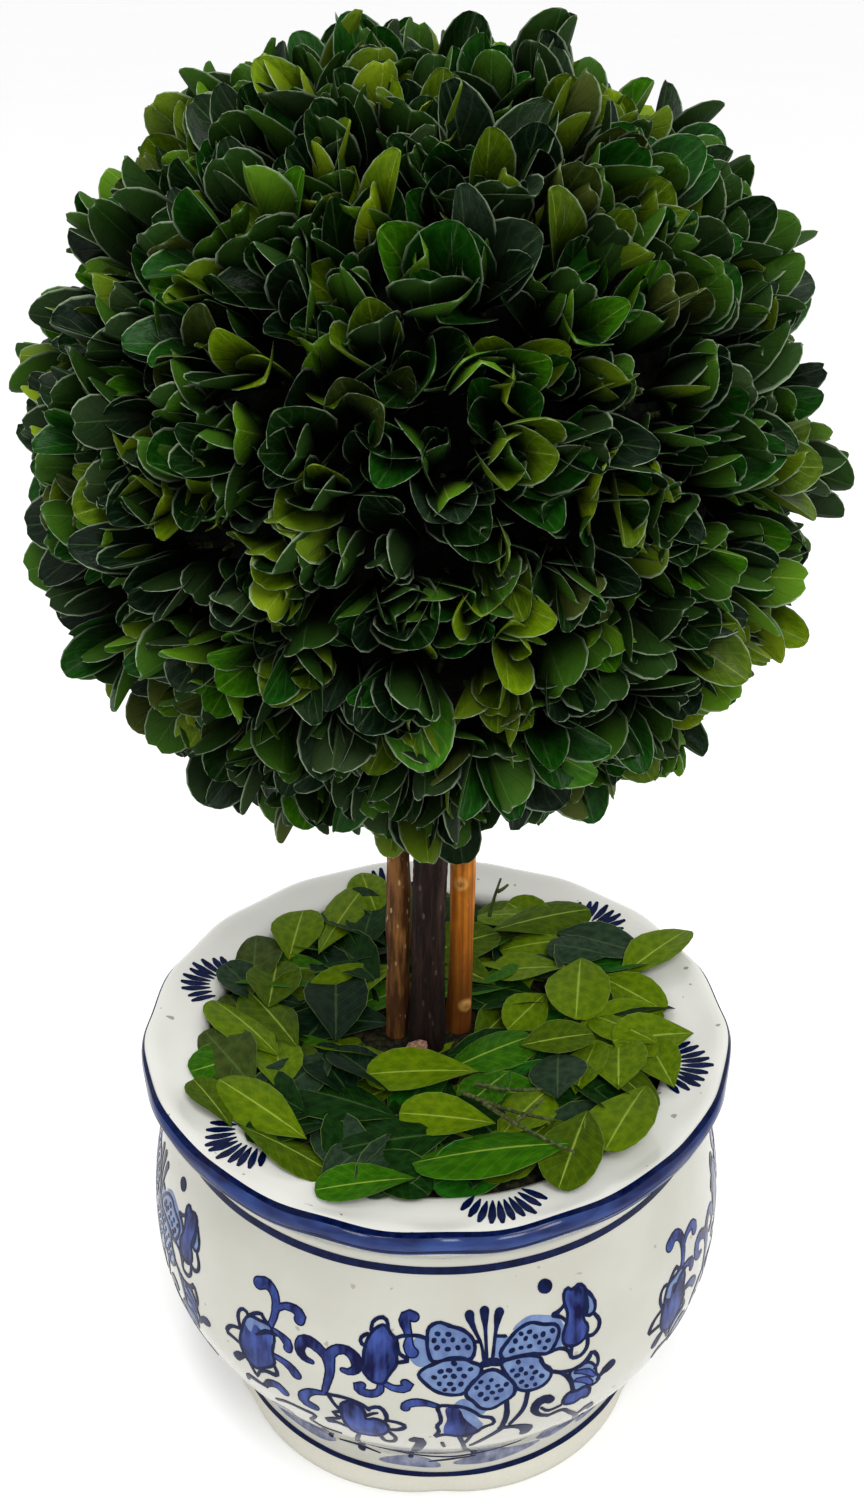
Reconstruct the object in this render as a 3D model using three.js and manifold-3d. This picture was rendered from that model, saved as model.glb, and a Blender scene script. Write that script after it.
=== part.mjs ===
// Box topiary ball: a clipped ball of preserved box sprigs on three sticks, which stand in a
// blue and white glazed pot whose filling is hidden under loose leaves.
// Millimetres, +Z up, +X to the right and -Y to the front.
// The origin is the centre of the pot's flat underside.
import * as THREE from 'three';
import { mergeVertices } from 'three/addons/utils/BufferGeometryUtils.js';
import Module from 'manifold-3d';

const wasm = await Module();
wasm.setup();

// Clearance between pieces that rest on each other
const CLEARANCE = 0.3;

// Pot: outer wall as stations of radius and height, from the foot up to the neck
const POT_COLUMNS = 60;
const FOOT_STATIONS = [[51, 0], [51.8, 1.4], [51.2, 6], [50.2, 11]];
const WALL_STATIONS = [
  [50.2, 11], [52.6, 16], [57.4, 22.8], [62.1, 31], [65.1, 40], [65.7, 49],
  [64.7, 64], [62.8, 76], [62.2, 84.5],
];
const WALL_ROWS = 8;
// Rim: flares out over the neck, rolls over at its edge and runs in as a broad flat top
const RIM_STATIONS = [
  [63.4, 87.4], [64.8, 89.8], [64.9, 92], [63.4, 93.1], [58.5, 92.3], [51.6, 91.9], [51, 91],
];
// Inside: the wall opens out again under the broad rim, down to a flat floor
const INSIDE_STATIONS = [[51, 89], [57.5, 80], [60.8, 62], [60, 46], [55, 31], [47, 15], [42, 7]];
const FLOOR_HEIGHT = 7;

// Ruffle of the rim's edge: two harmonics round the pot, their crests' places in degrees
const RUFFLE_START_HEIGHT = 86;
const RUFFLE_FULL_HEIGHT = 90;
const RUFFLE_WIDTH_FROM_EDGE = 4;
const RUFFLE_FINE = { count: 10, amplitude: 0.55, crestAt: 19.8 };
const RUFFLE_BROAD = { count: 5, amplitude: 0.4, crestAt: 35.6 };
const RUFFLE_LIFT = 0.9;

// Filling: a block that fills the pot up to just below the lip
const FILLING_TOP = 86.5;
const FILLING_COLUMNS = 30;
const FILLING_INSET = 0.45;

// Sticks: centre at the mulch and at the crown's underside, radii at foot and top
const STICK_BOTTOM = 50;
const STICK_TOP = 208;
const MULCH_HEIGHT = 92;
const CROWN_UNDERSIDE = 152;
const STICK_SIDES = 10;
const STICK_ROWS = 8;
const STICKS = [
  {
    name: 'stem_left', color: 0x5e4130, foot: [-8.7, -2.4], head: [-8.1, -1.4], radii: [2.7, 2.4], bow: 0.3,
  },
  {
    name: 'stem_middle', color: 0x251a17, foot: [-1.9, -6.6], head: [-0.9, -5], radii: [4.2, 2.9], bow: -0.3,
  },
  {
    name: 'stem_right', color: 0xb87a3c, foot: [4.9, -0.6], head: [5.3, 0.6], radii: [2.8, 2.6], bow: 0.4,
  },
];

// Crown: a clipped ball, a core with leafy sprigs that stand out of it all round
const CROWN_CENTRE = new THREE.Vector3(-2, 0, 223);
const CROWN_CORE_RADIUS = 56.5;
const CROWN_CORE_DETAIL = 3;
const CROWN_REACH = 75.5;
const CROWN_SEED = 4711;
const SPRIG_COUNT = 96;
const SPRIG_ROOT_RADIUS = 52;
const SPRIG_BARE_LENGTH = 6;
const SPRIG_TWIG_RADIUS = 1.2;
const SPRIG_TAPER = 0.12;
const SPRIG_SWAY = 0.35;
const STICK_KEEP_OUT = 1.2;
// Crossed leaf pairs up a sprig: lean from the sprig's axis, leaf length and twig length taken up
const SPRIG_PAIRS = [
  { lean: 0.98, length: 21, height: 2.2 },
  { lean: 0.42, length: 15, height: 2 },
];

// Leaf: edge as shares of length and of width, from the widest place to the blunt tip
const LEAF_EDGE = [[0.6, 0.5], [0.96, 0.24]];
const LEAF_MIDDLE = [0.5, 0];
const LEAF_SLENDERNESS = 0.66;
const LEAF_THICKNESS = 0.6;
const SPRIG_LEAF_CUP = 0.1;
const LEAF_TWIST = [-0.25, 0.25];
const LEAN_SPREAD = [0.82, 1.18];
const LENGTH_SPREAD = [0.88, 1.12];

// Mulch: a low ring of leaves laid flat over the filling, round the sticks
const MULCH_STATIONS = [[6, 86.8], [50, 86.8], [50.3, 89], [44, 91], [30, 92], [6, 92.2]];
const MULCH_COLUMNS = 24;
const MULCH_SEED = 1203;
const MULCH_LEAVES = 46;
const MULCH_INNER_RADIUS = 10;
const MULCH_OUTER_RADIUS = 42;
const MULCH_ROOT_HEIGHT = [91.2, 92.2];
const MULCH_LEAF_LENGTH = 27;
const MULCH_LEAF_CUP = -0.04;
const MULCH_SLOPE = [0.11, 0.2];
const MULCH_ROLL = [-0.15, 0.15];
const MULCH_HEADING = [-1.1, 1.1];
const MULCH_REACH = 58;
const RIM_KEEP_OUT = { inner: 50.5, outer: 80, low: 80, high: 93.6 };

const SIDES = [0, 1, 2, 3];
const UP = new THREE.Vector3(0, 0, 1);
const GOLDEN_ANGLE = Math.PI * (3 - Math.sqrt(5));
const SPRIG_LENGTH = SPRIG_PAIRS.reduce((sum, pair) => sum + pair.height, SPRIG_BARE_LENGTH);

// Repeatable random numbers from 0 to 1
function seededRandom(seed) {
  let state = seed;
  return () => {
    state = (state + 0x6d2b79f5) | 0;
    let mixed = Math.imul(state ^ (state >>> 15), 1 | state);
    mixed = (mixed + Math.imul(mixed ^ (mixed >>> 7), 61 | mixed)) ^ mixed;
    return ((mixed ^ (mixed >>> 14)) >>> 0) / 4294967296;
  };
}

// Closed geometry with shared vertices to a solid that can be cut and joined
function toSolid(source) {
  const geometry = source.clone();
  geometry.deleteAttribute('normal');
  geometry.deleteAttribute('uv');
  const merged = mergeVertices(geometry, 1e-4);
  const triangles = [];
  for (let i = 0; i < merged.index.count; i += 3) {
    const [a, b, c] = [0, 1, 2].map((corner) => merged.index.getX(i + corner));
    if (a !== b && b !== c && c !== a) triangles.push(a, b, c);
  }
  return new wasm.Manifold(new wasm.Mesh({
    numProp: 3,
    vertProperties: new Float32Array(merged.attributes.position.array),
    triVerts: new Uint32Array(triangles),
  }));
}

// Solid back to a geometry with normals
function toGeometry(solid) {
  const mesh = solid.getMesh();
  const geometry = new THREE.BufferGeometry();
  geometry.setAttribute('position', new THREE.BufferAttribute(mesh.vertProperties, 3));
  geometry.setIndex(new THREE.BufferAttribute(mesh.triVerts, 1));
  geometry.computeVertexNormals();
  return geometry;
}

// The main body of a fused solid, without loose scraps and sealed hollows
function mainBody(solid) {
  return solid.decompose().reduce((best, body) => (body.volume() > best.volume() ? body : best));
}

// Surface turned about the vertical axis from [radius, height] points
function turned(points, columns) {
  const outline = points.map(([radius, height]) => new THREE.Vector2(radius, height));
  const geometry = new THREE.LatheGeometry(outline, columns);
  geometry.rotateX(Math.PI / 2);
  return geometry;
}

// Moves every vertex of a geometry by a function that changes the vertex in place
function displaced(geometry, move) {
  const position = geometry.attributes.position;
  const vertex = new THREE.Vector3();
  for (let i = 0; i < position.count; i += 1) {
    vertex.fromBufferAttribute(position, i);
    move(vertex);
    position.setXYZ(i, vertex.x, vertex.y, vertex.z);
  }
  return geometry;
}

// Height of the ruffle's wave at an azimuth, in millimetres
function ruffle(azimuth) {
  const wave = ({ count, amplitude, crestAt }) =>
    amplitude * Math.cos(count * (azimuth - THREE.MathUtils.degToRad(crestAt)));
  return wave(RUFFLE_FINE) + wave(RUFFLE_BROAD);
}

// Pot wall with its ruffled rim, one closed body on a flat underside
function potGeometry() {
  const wall = new THREE.SplineCurve(WALL_STATIONS.map(([r, z]) => new THREE.Vector2(r, z)))
    .getSpacedPoints(WALL_ROWS)
    .map((point) => [point.x, point.y]);
  const outline = [
    [0, 0],
    ...FOOT_STATIONS.slice(0, -1),
    ...wall,
    ...RIM_STATIONS,
    ...INSIDE_STATIONS,
    [0, FLOOR_HEIGHT],
  ];
  const edgeRadius = Math.max(...RIM_STATIONS.map(([radius]) => radius));
  return displaced(turned(outline, POT_COLUMNS), (vertex) => {
    const radius = Math.hypot(vertex.x, vertex.y);
    const byHeight = THREE.MathUtils.smoothstep(vertex.z, RUFFLE_START_HEIGHT, RUFFLE_FULL_HEIGHT);
    const byRadius = THREE.MathUtils.smoothstep(radius, edgeRadius - RUFFLE_WIDTH_FROM_EDGE, edgeRadius - 1);
    const wave = ruffle(Math.atan2(vertex.y, vertex.x)) * byHeight * byRadius;
    if (radius > 0) vertex.multiply(new THREE.Vector3(1 + wave / radius, 1 + wave / radius, 1));
    vertex.z += wave * RUFFLE_LIFT;
  });
}

// Centre line of a stick at a height: straight from foot to head, with a slight bow
function stickCentre(stick, height) {
  const along = (height - MULCH_HEIGHT) / (CROWN_UNDERSIDE - MULCH_HEIGHT);
  return new THREE.Vector2(...stick.foot)
    .lerp(new THREE.Vector2(...stick.head), along)
    .add(new THREE.Vector2(stick.bow * Math.sin(Math.PI * along), 0));
}

// Stick with a true taper, cut flat at both ends; clearance widens it and lengthens it for its socket
function stickGeometry(stick, clearance = 0) {
  const [footRadius, topRadius] = stick.radii;
  const height = STICK_TOP - STICK_BOTTOM + 2 * clearance;
  const geometry = new THREE.CylinderGeometry(
    topRadius + clearance, footRadius + clearance, height, STICK_SIDES, STICK_ROWS,
  );
  geometry.rotateX(Math.PI / 2);
  geometry.translate(0, 0, (STICK_TOP + STICK_BOTTOM) / 2);
  return displaced(geometry, (vertex) => {
    const centre = stickCentre(stick, THREE.MathUtils.clamp(vertex.z, STICK_BOTTOM, STICK_TOP));
    vertex.x += centre.x;
    vertex.y += centre.y;
  });
}

// Sockets that clear all the sticks
function socketSolids() {
  return STICKS.map((stick) => toSolid(stickGeometry(stick, CLEARANCE)));
}

// Filling, a clearance inside the pot's inner wall and floor, level just under the lip
function fillingSolid() {
  const below = INSIDE_STATIONS.findIndex(([, height]) => height < FILLING_TOP);
  const [upper, lower] = [INSIDE_STATIONS[below - 1], INSIDE_STATIONS[below]];
  const topRadius = THREE.MathUtils.mapLinear(FILLING_TOP, upper[1], lower[1], upper[0], lower[0]);
  const outline = [
    [0, FILLING_TOP],
    [topRadius - FILLING_INSET, FILLING_TOP],
    ...INSIDE_STATIONS.slice(below).map(([radius, height]) => [radius - FILLING_INSET, height + CLEARANCE]),
    [0, FLOOR_HEIGHT + CLEARANCE],
  ];
  return clearOfSticks(toSolid(turned(outline.reverse(), FILLING_COLUMNS)));
}

// Random value between two limits
function vary(random, [low, high]) {
  return THREE.MathUtils.lerp(low, high, random());
}

// Points of a leaf: its edge from near left round the blunt tip to near right, and the middles of its
// upper and under faces. The blade runs along a direction, its edges and tip raised by its cup.
function leafPoints(root, along, across, length, cup) {
  const normal = new THREE.Vector3().crossVectors(along, across);
  const at = ([lengthwise, sideways], lift) => root.clone()
    .addScaledVector(along, lengthwise * length)
    .addScaledVector(across, sideways * length * LEAF_SLENDERNESS)
    .addScaledVector(normal, lift);
  const [wide, tip] = LEAF_EDGE;
  const edge = [[wide[0], -wide[1]], [tip[0], -tip[1]], tip, wide];
  return {
    edge: edge.map((place) => at(place, cup * length * place[0])),
    upper: at(LEAF_MIDDLE, LEAF_THICKNESS / 2),
    under: at(LEAF_MIDDLE, -LEAF_THICKNESS / 2),
  };
}

// Geometry from points that are added one by one and faces that name them
class FaceList {
  constructor(placement = new THREE.Matrix4()) {
    this.placement = placement;
    this.points = [];
    this.triangles = [];
  }

  // Adds a point and gives its number
  point(place) {
    return this.points.push(place.clone().applyMatrix4(this.placement)) - 1;
  }

  // Triangles from each edge of a loop to a centre
  fan(loop, centre) {
    loop.forEach((corner, i) => this.triangles.push(corner, loop[(i + 1) % loop.length], centre));
  }

  // Four-sided face
  quad([a, b, c, d]) {
    this.triangles.push(a, b, c, a, c, d);
  }

  geometry() {
    const geometry = new THREE.BufferGeometry().setFromPoints(this.points);
    geometry.setIndex(this.triangles);
    return geometry;
  }
}

// Loose leaf that narrows to its root, one closed body
function bladeGeometry(root, along, across, length) {
  const faces = new FaceList();
  const leaf = leafPoints(root, along, across, length, MULCH_LEAF_CUP);
  const loop = [root, ...leaf.edge].map((place) => faces.point(place));
  faces.fan(loop, faces.point(leaf.upper));
  faces.fan(loop.toReversed(), faces.point(leaf.under));
  return faces.geometry();
}

// True when a point is inside the crown's reach and clear of every stick
function isFree(point, keepOut) {
  if (point.distanceTo(CROWN_CENTRE) > CROWN_REACH) return false;
  return STICKS.every((stick) => {
    const centre = stickCentre(stick, point.z);
    const nearest = stick.radii[0] + keepOut;
    return point.z > STICK_TOP || Math.hypot(point.x - centre.x, point.y - centre.y) > nearest;
  });
}

// Leaf that grows out of one side of a sprig's twig, or the bare side where the leaf would leave the
// crown or touch a stick. The side's corners run from lower left round to upper left.
function growLeaf(faces, corners, face, height, pair, random) {
  const lean = pair.lean * vary(random, LEAN_SPREAD);
  const length = pair.length * vary(random, LENGTH_SPREAD);
  const outward = new THREE.Vector3(0, 1, 0).applyAxisAngle(UP, face * Math.PI / 2);
  const root = outward.clone().multiplyScalar(SPRIG_TWIG_RADIUS * Math.SQRT1_2).setZ(height);
  const along = UP.clone().multiplyScalar(Math.cos(lean)).addScaledVector(outward, Math.sin(lean));
  const across = new THREE.Vector3().crossVectors(along, outward).normalize();
  across.applyAxisAngle(along, vary(random, LEAF_TWIST));
  const free = [0.5, 1].every((share) => {
    const place = root.clone().addScaledVector(along, share * length);
    return isFree(place.applyMatrix4(faces.placement), STICK_KEEP_OUT);
  });
  if (!free) {
    faces.quad(corners);
    return;
  }
  const [lowerLeft, lowerRight, upperRight, upperLeft] = corners;
  const leaf = leafPoints(root, along, across, length, SPRIG_LEAF_CUP);
  const edge = leaf.edge.map((place) => faces.point(place));
  faces.fan([upperLeft, ...edge, upperRight], faces.point(leaf.upper));
  faces.fan([lowerLeft, lowerRight, ...edge.toReversed()], faces.point(leaf.under));
  faces.triangles.push(lowerLeft, edge[0], upperLeft, lowerRight, upperRight, edge[3]);
}

// Sprig from its root along its own +Z: a four-sided twig with crossed pairs of leaves, one closed body
function sprigGeometry(placement, random) {
  const faces = new FaceList(placement);
  const ring = (height, radius) => SIDES.map((corner) => {
    const azimuth = (corner + 0.5) * Math.PI / 2;
    return faces.point(new THREE.Vector3(radius * Math.cos(azimuth), radius * Math.sin(azimuth), height));
  });
  let height = 0;
  let lower = ring(height, SPRIG_TWIG_RADIUS);
  faces.quad(lower.toReversed());
  [{ height: SPRIG_BARE_LENGTH }, ...SPRIG_PAIRS].forEach((level, index) => {
    height += level.height;
    const upper = ring(height, SPRIG_TWIG_RADIUS * (1 - SPRIG_TAPER * index));
    for (const face of SIDES) {
      const next = (face + 1) % SIDES.length;
      const corners = [lower[face], lower[next], upper[next], upper[face]];
      const bearsLeaf = level.length && face % 2 === index % 2;
      if (bearsLeaf) growLeaf(faces, corners, face, height - level.height / 2, level, random);
      else faces.quad(corners);
    }
    lower = upper;
  });
  faces.quad(lower);
  return faces.geometry();
}

// Cuts a fused mass clear of the sticks
function clearOfSticks(solid) {
  return socketSolids().reduce((rest, socket) => rest.subtract(socket), solid);
}

// Crown: core and sprigs fused, then cut clear of the sticks
function crownSolid() {
  const random = seededRandom(CROWN_SEED);
  const core = new THREE.IcosahedronGeometry(CROWN_CORE_RADIUS, CROWN_CORE_DETAIL);
  core.translate(CROWN_CENTRE.x, CROWN_CENTRE.y, CROWN_CENTRE.z);
  const solids = [toSolid(core)];
  for (let i = 0; i < SPRIG_COUNT; i += 1) {
    const height = 1 - (2 * i + 1) / SPRIG_COUNT;
    const direction = new THREE.Vector3(Math.sqrt(1 - height * height), 0, height);
    direction.applyAxisAngle(UP, i * GOLDEN_ANGLE);
    const sway = new THREE.Vector3(random() - 0.5, random() - 0.5, random() - 0.5);
    const axis = direction.clone().addScaledVector(sway, SPRIG_SWAY).normalize();
    const placement = new THREE.Matrix4()
      .makeRotationFromQuaternion(new THREE.Quaternion().setFromUnitVectors(UP, axis))
      .setPosition(CROWN_CENTRE.clone().addScaledVector(direction, SPRIG_ROOT_RADIUS))
      .multiply(new THREE.Matrix4().makeRotationZ(Math.PI * random()));
    const tip = new THREE.Vector3(0, 0, SPRIG_LENGTH).applyMatrix4(placement);
    if (isFree(tip, 2 * STICK_KEEP_OUT)) solids.push(toSolid(sprigGeometry(placement, random)));
  }
  return mainBody(clearOfSticks(wasm.Manifold.union(solids)));
}

// Mulch: a low core ring and the leaves laid over it, cut clear of the sticks and the pot's rim
function mulchSolid() {
  const random = seededRandom(MULCH_SEED);
  const solids = [toSolid(turned([...MULCH_STATIONS, MULCH_STATIONS[0]], MULCH_COLUMNS))];
  for (let i = 0; i < MULCH_LEAVES; i += 1) {
    const outward = Math.sqrt((i + 0.5) / MULCH_LEAVES);
    const radius = THREE.MathUtils.lerp(MULCH_INNER_RADIUS, MULCH_OUTER_RADIUS, outward);
    const azimuth = i * GOLDEN_ANGLE;
    const heading = azimuth + vary(random, MULCH_HEADING);
    const root = new THREE.Vector3(radius, 0, vary(random, MULCH_ROOT_HEIGHT)).applyAxisAngle(UP, azimuth);
    const along = new THREE.Vector3(1, 0, vary(random, MULCH_SLOPE)).normalize().applyAxisAngle(UP, heading);
    const across = new THREE.Vector3(0, 1, 0).applyAxisAngle(UP, heading);
    across.applyAxisAngle(along, vary(random, MULCH_ROLL));
    const length = MULCH_LEAF_LENGTH * vary(random, LENGTH_SPREAD);
    const tip = root.clone().addScaledVector(along, length);
    const overhang = Math.max(Math.hypot(tip.x, tip.y) - MULCH_REACH, 0);
    solids.push(toSolid(bladeGeometry(root.addScaledVector(along, -overhang), along, across, length)));
  }
  const { inner, outer, low, high } = RIM_KEEP_OUT;
  const corners = [[inner, low], [outer, low], [outer, high], [inner, high], [inner, low]];
  const rim = toSolid(turned(corners, POT_COLUMNS));
  return mainBody(clearOfSticks(wasm.Manifold.union(solids).subtract(rim)));
}

// Named mesh with its finish
function piece(name, geometry, color, roughness) {
  const mesh = new THREE.Mesh(geometry, new THREE.MeshStandardMaterial({ color, roughness, metalness: 0 }));
  mesh.name = name;
  return mesh;
}

const topiary = new THREE.Group();
topiary.add(piece('pot', potGeometry(), 0xdcdbd2, 0.12));
topiary.add(piece('pot_filling', toGeometry(fillingSolid()), 0x4a3d30, 0.95));
for (const stick of STICKS) topiary.add(piece(stick.name, stickGeometry(stick), stick.color, 0.75));
topiary.add(piece('mulch', toGeometry(mulchSolid()), 0x5f7a2c, 0.6));
topiary.add(piece('crown', toGeometry(crownSolid()), 0x2c5a22, 0.55));

export default topiary;
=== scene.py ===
"""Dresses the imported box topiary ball: painted pot, filling, leaf mulch, sticks and leafy crown.

Shapes are worked out in millimetres, +Z up, with the origin under the pot's foot, and become
metres when they are made into meshes.
"""

import logging
import math
from collections.abc import Callable, Sequence
from dataclasses import dataclass, field
from enum import Enum
from functools import cache

import bpy
import numpy as np
from mathutils import Matrix, Vector, geometry, noise


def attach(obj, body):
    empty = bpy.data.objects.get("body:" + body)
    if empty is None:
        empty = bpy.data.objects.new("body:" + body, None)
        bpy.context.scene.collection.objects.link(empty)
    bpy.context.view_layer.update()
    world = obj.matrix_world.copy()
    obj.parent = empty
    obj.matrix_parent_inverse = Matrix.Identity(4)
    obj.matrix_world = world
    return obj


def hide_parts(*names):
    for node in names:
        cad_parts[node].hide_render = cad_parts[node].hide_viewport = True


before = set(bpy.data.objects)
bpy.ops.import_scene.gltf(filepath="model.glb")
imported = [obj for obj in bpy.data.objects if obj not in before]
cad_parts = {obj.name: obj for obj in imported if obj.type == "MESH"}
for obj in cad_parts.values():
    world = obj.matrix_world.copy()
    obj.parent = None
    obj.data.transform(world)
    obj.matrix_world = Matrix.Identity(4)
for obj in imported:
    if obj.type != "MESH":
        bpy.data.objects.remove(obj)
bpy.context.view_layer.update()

LOG = logging.getLogger("topiary")
MM = 0.001
GOLDEN_ANGLE = math.pi * (3 - math.sqrt(5))
LEAF_UV = "OFBake"
LEAF_UV_HALF = 0.48
GLAZE_RIPPLE = 0.00006

Point = tuple[float, float]
Spot = tuple[float, float, float]
Colour = tuple[float, float, float, float]
Faces = list[tuple[int, ...]]
Placing = Callable[[np.ndarray], np.ndarray]
TwigLine = tuple[np.ndarray, np.ndarray]
Socket = bpy.types.NodeSocket
Sockets = dict[str, Socket]
Material = bpy.types.Material
Piece = bpy.types.Object
NodeTree = bpy.types.NodeTree


def srgb(red: int, green: int, blue: int) -> Colour:
    """Turns a colour as seen on a screen, 0 to 255, into the linear colour that shaders use.

    Args:
        red: Red, 0 to 255.
        green: Green, 0 to 255.
        blue: Blue, 0 to 255.

    Returns:
        The opaque linear colour.
    """
    shares = [value / 255 for value in (red, green, blue)]
    linear = [s / 12.92 if s <= 0.04045 else ((s + 0.055) / 1.055) ** 2.4 for s in shares]
    return (*linear, 1.0)


def smoothstep(value: np.ndarray, low: float, high: float) -> np.ndarray:
    """Rises smoothly from 0 at low to 1 at high."""
    share = np.clip((np.asarray(value, float) - low) / (high - low), 0, 1)
    return share * share * (3 - 2 * share)


def smooth_line(points: Sequence[Sequence[float]], step: float, closed: bool = False) -> np.ndarray:
    """Runs a rounded line through points.

    Args:
        points: The points that the line goes through.
        step: Distance between the samples.
        closed: Whether the line runs back to its first point.

    Returns:
        Samples an even distance apart, one row each.
    """
    given = np.asarray(points, float)
    if closed:
        guides = np.vstack([given[-1], given, given[0], given[1]])
    else:
        guides = np.vstack([2 * given[0] - given[1], given, 2 * given[-1] - given[-2]])
    pieces = []
    for a, b, c, d in zip(guides, guides[1:], guides[2:], guides[3:]):
        knots = np.cumsum([0, *(max(np.linalg.norm(q - p), 1e-6) ** 0.5 for p, q in ((a, b), (b, c), (c, d)))])
        t = np.linspace(knots[1], knots[2], 16, endpoint=False)[:, None]

        def between(p: np.ndarray, q: np.ndarray, low: int, high: int) -> np.ndarray:
            """Blends two rows of points between two knots."""
            return ((knots[high] - t) * p + (t - knots[low]) * q) / (knots[high] - knots[low])

        first, middle, last = between(a, b, 0, 1), between(b, c, 1, 2), between(c, d, 2, 3)
        pieces.append(between(between(first, middle, 0, 2), between(middle, last, 1, 3), 1, 2))
    line = np.vstack([*pieces, guides[-2]])
    length = np.concatenate([[0], np.cumsum(np.linalg.norm(np.diff(line, axis=0), axis=1))])
    even = np.linspace(0, length[-1], max(2, round(length[-1] / step)) + 1)
    result = np.column_stack([np.interp(even, length, line[:, axis]) for axis in range(line.shape[1])])
    return result[:-1] if closed else result


def grid_faces(rows: int, columns: int, wrap: bool = True) -> Faces:
    """Lists the quads of a grid of points.

    Args:
        rows: Number of rows of points.
        columns: Number of points in a row.
        wrap: Whether the last column joins the first.

    Returns:
        Corner numbers of each quad.
    """
    faces = []
    for row in range(rows - 1):
        for column in range(columns if wrap else columns - 1):
            after = (column + 1) % columns
            low, high = row * columns, (row + 1) * columns
            faces.append((low + column, low + after, high + after, high + column))
    return faces


def link(name: str, data: bpy.types.ID) -> Piece:
    """Makes an object of a mesh, lamp or camera and puts it in the scene.

    Args:
        name: The object's name.
        data: What it shows.

    Returns:
        The object.
    """
    made = bpy.data.objects.new(name, data)
    bpy.context.scene.collection.objects.link(made)
    return made


def make_piece(name: str, points: np.ndarray, faces: Faces, material: Material) -> Piece:
    """Makes a smooth-shaded object at the origin from points in millimetres.

    Args:
        name: The piece's name.
        points: Corners in millimetres.
        faces: Corner numbers of each face.
        material: The material that it wears.

    Returns:
        The piece.
    """
    mesh = bpy.data.meshes.new(name)
    mesh.from_pydata((np.asarray(points, float) * MM).tolist(), [], faces)
    mesh.polygons.foreach_set("use_smooth", [True] * len(mesh.polygons))
    mesh.materials.append(material)
    mesh.update()
    return link(name, mesh)


def turned_piece(name: str, rings: np.ndarray, material: Material) -> Piece:
    """Makes a closed round object from rings of points, the first and last shrunk to a pole.

    Args:
        name: The piece's name.
        rings: Rings of points in millimetres, from the first end to the last.
        material: The material that it wears.

    Returns:
        The piece.
    """
    rows, columns = rings.shape[:2]
    inner = rings[1:-1].reshape(-1, 3)
    points = np.vstack([inner, rings[0].mean(axis=0), rings[-1].mean(axis=0)])
    faces = grid_faces(rows - 2, columns)
    low, high, top = len(inner), len(inner) + 1, (rows - 3) * columns
    for column in range(columns):
        after = (column + 1) % columns
        faces.append((low, after, column))
        faces.append((high, top + column, top + after))
    return make_piece(name, points, faces, material)


def settle(piece: Piece, slot: str, *nodes: str) -> None:
    """Sets a piece on the plant's one body, hides the CAD nodes that it replaces and logs them.

    Args:
        piece: The finished piece.
        slot: Not used.
        nodes: The CAD nodes it replaces.
    """
    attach(piece, "root")
    if nodes:
        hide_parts(*nodes)
    LOG.info("%s: %d faces, replaces %s", piece.name, len(piece.data.polygons), nodes or "nothing")


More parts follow.
